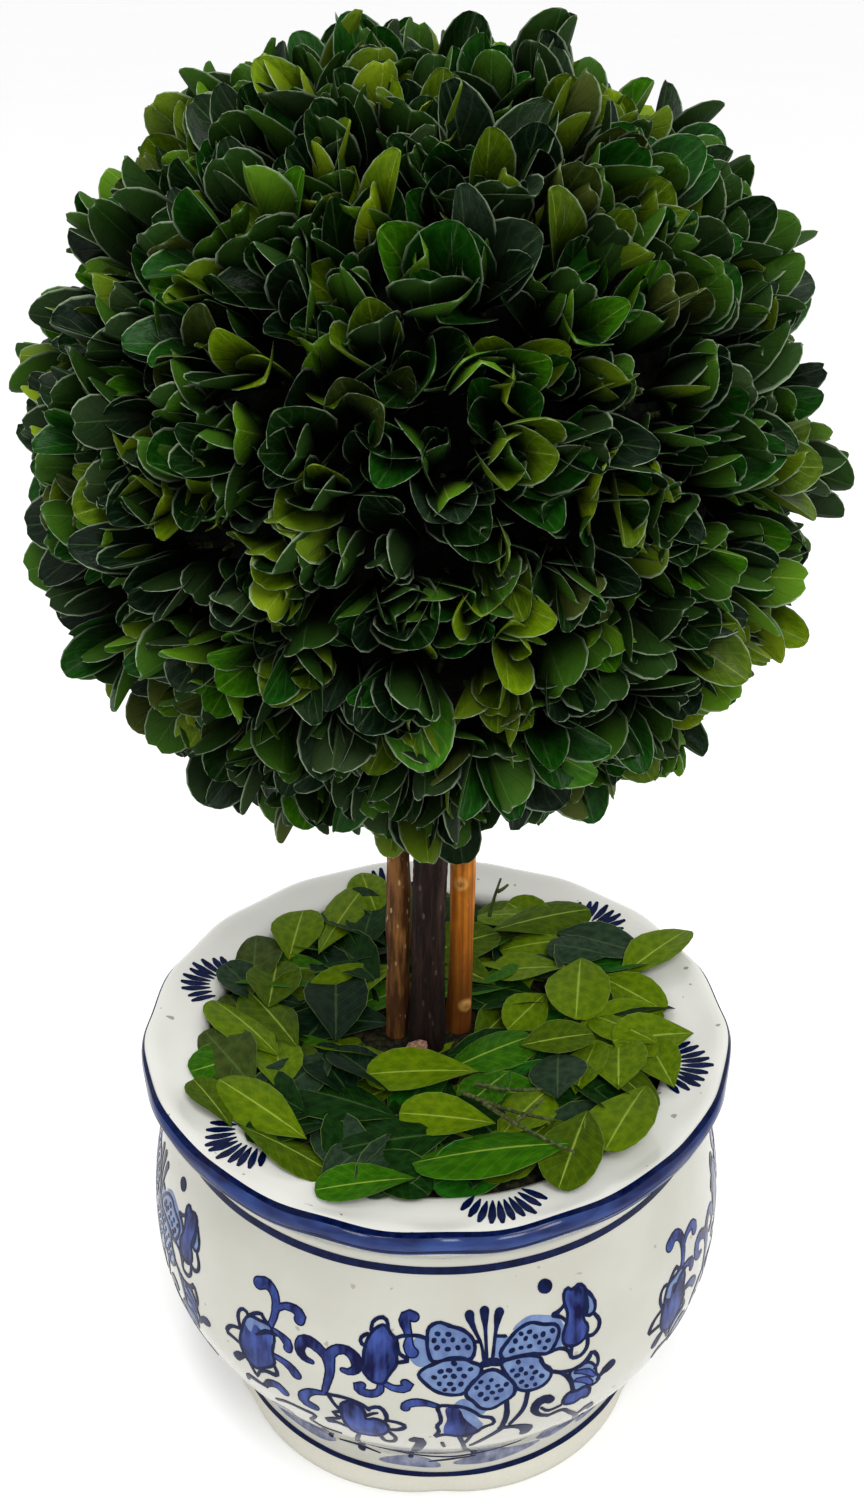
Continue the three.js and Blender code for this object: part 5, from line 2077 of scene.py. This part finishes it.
    def build(self, twig: Material, chip: Material) -> None:
        """Makes the leaves, one piece of each tint, with the scraps among them.

        Args:
            twig: The bark of the twigs.
            chip: The bare wood of the chip.
        """
        self.scraps(twig, chip)
        random = np.random.default_rng(self.seed)
        foliage = Foliage("mulch", self.shares, random)
        for leaf in LOOSE_LEAVES:
            foliage.sites[leaf.spray].append(self.placed(leaf, random))
        for number in range(self.leaves):
            share = (number + 0.5) / self.leaves
            radius = math.sqrt(self.inner ** 2 + share * (self.outer ** 2 - self.inner ** 2))
            azimuth = number * GOLDEN_ANGLE
            heading = azimuth + random.uniform(-1.2, 1.2) + (math.pi if random.random() < 0.12 else 0)
            length = self.length * random.uniform(0.8, 1.2)
            middle = np.array([radius * math.cos(azimuth), radius * math.sin(azimuth)])
            way = np.array([math.cos(heading), math.sin(heading)])
            ends = [middle - way * length / 2, middle + way * length / 2]
            if max(map(np.linalg.norm, ends)) > self.reach or min(map(np.linalg.norm, ends)) < 8:
                continue
            layer = random.uniform(-2.6, 0.2 + 1.8 * max(0.0, math.sin(azimuth)))
            root = np.array([*ends[0], self.surface(float(np.linalg.norm(ends[0]))) + self.layer_rise * layer])
            foliage.sites[foliage.deal()].append(self.site(
                root, heading, length, random.uniform(0.9, 1.15), random.uniform(-0.04, 0.06),
                random.uniform(-0.34, 0.34), int(random.integers(*FLAT_FORMS)),
            ))
        foliage.build(self.trees, 3)


@dataclass(frozen=True)
class LeafPair:
    """One crossed pair of leaves up a sprig."""

    lean: float
    length: float
    height: float


@dataclass
class Crown:
    """The clipped ball: a near-black core of painted shade with leafy sprigs that stand out of it all round."""

    trees: PlantTrees
    sticks: Sequence[Stick]
    centre: Spot = (-2.0, 0.0, 224.6)
    core_radius: float = 51.0
    reach: float = 76.5
    seed: int = 4711
    sprigs: int = 900
    root_radius: float = 45.0
    bare_length: float = 5.0
    twig_radius: float = 0.8
    sway: float = 0.34
    keep_out: float = 1.0
    pairs: tuple[LeafPair, ...] = (LeafPair(0.27, 18.6, 3.2), LeafPair(0.16, 16.4, 2.4))
    lean_spread: float = 0.7
    splayed: float = 0.06
    splay: float = 0.45
    facing: float = 0.7
    length_spread: float = 0.17
    odd_leaves: float = 0.22
    young_leaves: float = 0.2
    shares: tuple[tuple[Spray, float], ...] = (
        (Spray.BLUE_GREEN, 0.21), (Spray.DARK, 0.28), (Spray.GREY_GREEN, 0.05), (Spray.MIDDLE, 0.2),
        (Spray.FRESH, 0.08), (Spray.OLIVE, 0.11), (Spray.LIME, 0.05), (Spray.MOSSY, 0.02),
    )

    def near_stick(self, point: np.ndarray) -> bool:
        """Tells whether a point touches a stick.

        Args:
            point: A point in millimetres.

        Returns:
            Whether it does.
        """
        height = point[2]
        return any(
            height <= stick.high
            and np.linalg.norm(stick.centre(height)[:2] - point[:2]) < stick.radius(height) + self.keep_out
            for stick in self.sticks
        )

    def is_free(self, point: np.ndarray) -> bool:
        """Tells whether a point lies in the crown's reach and off the sticks."""
        return np.linalg.norm(point - np.array(self.centre)) < self.reach and not self.near_stick(point)

    def core(self, finish: CrumbFinish) -> None:
        """Makes the lumpy near-black core that paints the shade deep in the ball.

        Args:
            finish: The core's finish.
        """
        heights = np.linspace(-math.pi / 2, math.pi / 2, 72)
        angle = np.linspace(0, 2 * math.pi, 96, endpoint=False)
        rings = []
        for tilt in heights:
            ring = []
            for turn in angle:
                way = np.array([math.cos(tilt) * math.cos(turn), math.cos(tilt) * math.sin(turn), math.sin(tilt)])
                size = self.core_radius + 1.6 * noise.noise(Vector(way * 9)) + 0.8 * noise.noise(Vector(way * 26))
                ring.append(np.array(self.centre) + way * size)
            rings.append(ring)
        piece = turned_piece("crown_core", np.array(rings), finish.material())
        settle(piece, "crown_leaves", "crown")

    def sprig(self, number: int, random: np.random.Generator) -> tuple[TwigLine, list[tuple[int, LeafSite]]]:
        """Grows one sprig by the rule.

        Args:
            number: The sprig's number on the sphere.
            random: Seeded random numbers.

        Returns:
            The twig's line with its radii, and its leaves with the number of their pair.
        """
        height = 1 - (2 * number + 1) / self.sprigs
        turn, ring = number * GOLDEN_ANGLE, math.sqrt(1 - height * height)
        way = np.array([ring * math.cos(turn), ring * math.sin(turn), height])
        axis = way + random.uniform(-1, 1, 3) * self.sway
        axis /= np.linalg.norm(axis)
        side = np.cross(axis, [0.3, 0.9, 0.1])
        side /= np.linalg.norm(side)
        other = np.cross(axis, side)
        spin = random.uniform(0, 2 * math.pi)
        vigour = random.uniform(0.86, 1.12)
        root = np.array(self.centre) + way * self.root_radius
        length = self.bare_length * vigour + random.uniform(-2.5, 2.5)
        nodes, leaves = [root, root + axis * length], []
        for order, pair in enumerate(self.pairs):
            spot = nodes[-1]
            for half in (0, 1):
                around = spin + order * math.pi / 2 + half * math.pi + random.uniform(-0.5, 0.5)
                outward = side * math.cos(around) + other * math.sin(around)
                lean = pair.lean * (1 + random.uniform(-1, 1) * self.lean_spread)
                lean += self.splay * (random.random() < self.splayed)
                along = axis * math.cos(lean) + outward * math.sin(lean)
                size = pair.length * vigour * (1 + random.uniform(-1, 1) * self.length_spread)
                up = -outward + random.uniform(-1, 1, 3) * self.facing
                broad, form = random.uniform(0.74, 1.12), int(random.integers(*CROWN_FORMS))
                site = LeafSite(spot, along, up, size, broad, form)
                if self.is_free(site.tip) and self.is_free((site.tip + spot) / 2):
                    leaves.append((order, site))
            nodes.append(spot + axis * pair.height * vigour)
        radii = np.linspace(self.twig_radius, 0.3, len(nodes))
        return (np.array(nodes[:-1]), radii[:-1]), leaves

    def build(self, core: CrumbFinish, twig: Material) -> None:
        """Makes the core, the twigs and the leaves, one piece of each tint.

        Args:
            core: The core's finish.
            twig: The bark of the twigs.
        """
        self.core(core)
        random = np.random.default_rng(self.seed)
        foliage = Foliage("crown", self.shares, random)
        lines = []
        for number in range(self.sprigs):
            line, leaves = self.sprig(number, random)
            if not leaves or self.near_stick(line[0][-1]):
                continue
            lines.append(line)
            tint = foliage.deal()
            for order, site in leaves:
                own = foliage.deal() if random.random() < self.odd_leaves else tint
                if order and own in (Spray.BLUE_GREEN, Spray.DARK) and random.random() < self.young_leaves:
                    own = Spray.MIDDLE
                foliage.sites[own].append(site)
        settle(self.trees.grow_twigs("crown_twigs", lines, twig), "crown_leaves", "crown")
        foliage.build(self.trees, 7)


@dataclass(frozen=True)
class Studio:
    """A plain pale floor, soft lamps and the camera at the photograph's angle."""

    camera_place: Spot = (-1.0, -263.3, 311.3)
    pitch: float = 29.4
    lens: float = 36.0
    floor_radii: tuple[float, ...] = (0.5, 2, 9)
    floor_columns: int = 64

    def floor(self, material: Material) -> None:
        """Makes the floor, a wide disc of a few rings.

        Args:
            material: The paper.
        """
        columns = self.floor_columns
        angle = np.linspace(0, 2 * math.pi, columns, endpoint=False)
        ring = np.column_stack([np.cos(angle), np.sin(angle), 0 * angle])
        points = np.vstack([ring * radius * 1000 for radius in self.floor_radii])
        faces = [tuple(range(columns)), *[face[::-1] for face in grid_faces(len(self.floor_radii), columns)]]
        make_piece("floor", points - [0, 0, 0.05], faces, material)

    def lamp(self, name: str, place: Spot, target: Spot, size: float, power: float, colour: Spot) -> None:
        """Hangs one square soft lamp, in metres and watts, turned to its target.

        Args:
            name: The lamp's name.
            place: Where it hangs.
            target: Where it points.
            size: Its width.
            power: Its power.
            colour: Its colour.
        """
        light = bpy.data.lights.new(name, "AREA")
        light.size, light.energy, light.color = size, power, colour
        lamp = link(name, light)
        lamp.location = place
        lamp.rotation_euler = (Vector(target) - Vector(place)).to_track_quat("-Z", "Y").to_euler()

    def build(self) -> None:
        """Makes the floor, the lamps, the pale surroundings and the camera."""
        self.floor(PaperFinish().material())
        world = bpy.data.worlds.new("studio")
        world.use_nodes = True
        light = world.node_tree.nodes["Background"].inputs
        light["Color"].default_value, light["Strength"].default_value = (1.0, 1.0, 1.0, 1.0), 1.0
        bpy.context.scene.world = world
        bpy.context.scene.view_settings.view_transform = "Standard"
        self.lamp("overhead", (-0.1, -0.1, 1.15), (0, 0, 0.15), 0.4, 3.4, (1.0, 1.0, 0.99))
        self.lamp("front", (0.2, -0.62, 1.0), (0, 0, 0.12), 0.4, 5.6, (1.0, 1.0, 1.0))
        view = bpy.data.cameras.new("camera")
        view.lens, view.sensor_width, view.sensor_fit = self.lens, 36.0, "AUTO"
        view.clip_start, view.clip_end = 0.01, 50.0
        camera = link("camera", view)
        camera.location = [value * MM for value in self.camera_place]
        camera.rotation_euler = (math.radians(90 - self.pitch), 0, 0)
        bpy.context.scene.camera = camera


PAINT_FINISHES: dict[Tone, PaintFinish] = {
    Tone.SHADE: PaintFinish("paint_greyed_wash", srgb(70, 76, 104), srgb(124, 128, 148), 0.6, 220.0),
    Tone.WASH: PaintFinish("paint_light_wash", srgb(80, 98, 140), srgb(108, 130, 166), 0.4, 260.0, sheen=0.1),
    Tone.STRIPE: PaintFinish(
        "paint_stripe", srgb(8, 18, 64), srgb(36, 60, 116), 0.6, 420.0, (0.12, 0.12, 1.0), sheen=0.25,
    ),
    Tone.BODY: PaintFinish(
        "paint_cobalt", srgb(4, 5, 50), srgb(54, 72, 138), 0.6, 230.0, (1.0, 1.0, 0.45), sheen=0.06,
    ),
    Tone.LINE: PaintFinish("paint_dark_line", srgb(3, 10, 42), srgb(12, 26, 68), 0.5, 420.0, sheen=0.05),
}

# Each stick darkens towards its foot: painted shade.
BROWN_BARK = WoodFinish(
    "brown_bark", dark=srgb(62, 36, 16), light=srgb(134, 90, 46), blotch=srgb(88, 56, 28), fleck=srgb(190, 166, 128),
    stretch=0.14, fleck_share=0.6, blotch_share=0.4, roughness=0.62, relief=0.0004,
    foot_shade=srgb(46, 26, 12), foot_shade_share=0.4,
)
DARK_BARK = WoodFinish(
    "dark_bark", dark=srgb(20, 11, 9), light=srgb(54, 36, 30), blotch=srgb(30, 18, 15), fleck=srgb(132, 112, 100),
    stretch=0.08, fleck_share=0.3, blotch_share=0.5, roughness=0.6, relief=0.0007, scale=360.0,
    foot_shade=srgb(12, 7, 6), foot_shade_share=0.6,
)
PEELED_WOOD = WoodFinish(
    "peeled_wood", dark=srgb(158, 84, 14), light=srgb(216, 134, 38), blotch=srgb(128, 68, 16), fleck=srgb(230, 172, 92),
    stretch=0.03, fleck_share=0.2, blotch_share=0.5, roughness=0.5, relief=0.0002, scale=520.0,
    foot_shade=srgb(80, 42, 14), foot_shade_share=0.9, knots=((0.0051, -0.0026, 0.132), (0.0065, -0.003, 0.1)),
)
TWIG_BARK = WoodFinish(
    "twig_bark", dark=srgb(40, 52, 26), light=srgb(84, 94, 48), blotch=srgb(66, 58, 36), fleck=srgb(110, 112, 76),
    stretch=0.1, fleck_share=0.2, blotch_share=0.4, roughness=0.6, relief=0.0002, scale=700.0,
)


def main() -> None:
    """Builds each sub-assembly in order."""
    logging.basicConfig(level=logging.INFO, format="%(name)s: %(message)s")
    Studio().build()
    shape = PotShape()
    shape.build(GlazeFinish())
    paint = Paint(shape)
    WallPainting(paint).draw()
    RimPainting(paint).draw()
    paint.build(PAINT_FINISHES)
    Filling(shape).build(
        CrumbFinish("filling_foam", srgb(66, 52, 36), srgb(92, 74, 52)),
        CrumbFinish("litter", srgb(16, 18, 10), srgb(48, 44, 26), 700.0),
    )
    knots = (Knot(262, 132, 1.3, 0.5), Knot(300, 100, 1.3, 0.6))
    sticks = [
        Stick("stem_left", BROWN_BARK, (-8.7, -2.4), (-8.1, -1.4), (2.7, 2.4), 0.3, smooth_bark),
        Stick("stem_middle", DARK_BARK, (-1.9, -6.6), (-0.9, -5), (4.2, 2.9), -0.3, ridged_bark),
        Stick("stem_right", PEELED_WOOD, (4.9, -0.6), (5.3, 0.6), (2.8, 2.6), 0.4, peeled_wood, knots),
    ]
    for stick in sticks:
        stick.build()
    trees = PlantTrees(LEAF_FORMS)
    chip = CrumbFinish("mulch_chip", srgb(132, 96, 80), srgb(190, 150, 130), 900.0)
    Mulch(trees).build(TWIG_BARK.material(), chip.material())
    # Painted shade: a near-black core stands for the shade deep in the ball.
    core = CrumbFinish("crown_core", srgb(3, 5, 2), srgb(12, 18, 8))
    Crown(trees, sticks).build(core, TWIG_BARK.material())
    trees.clear()


if __name__ == "__main__":
    main()
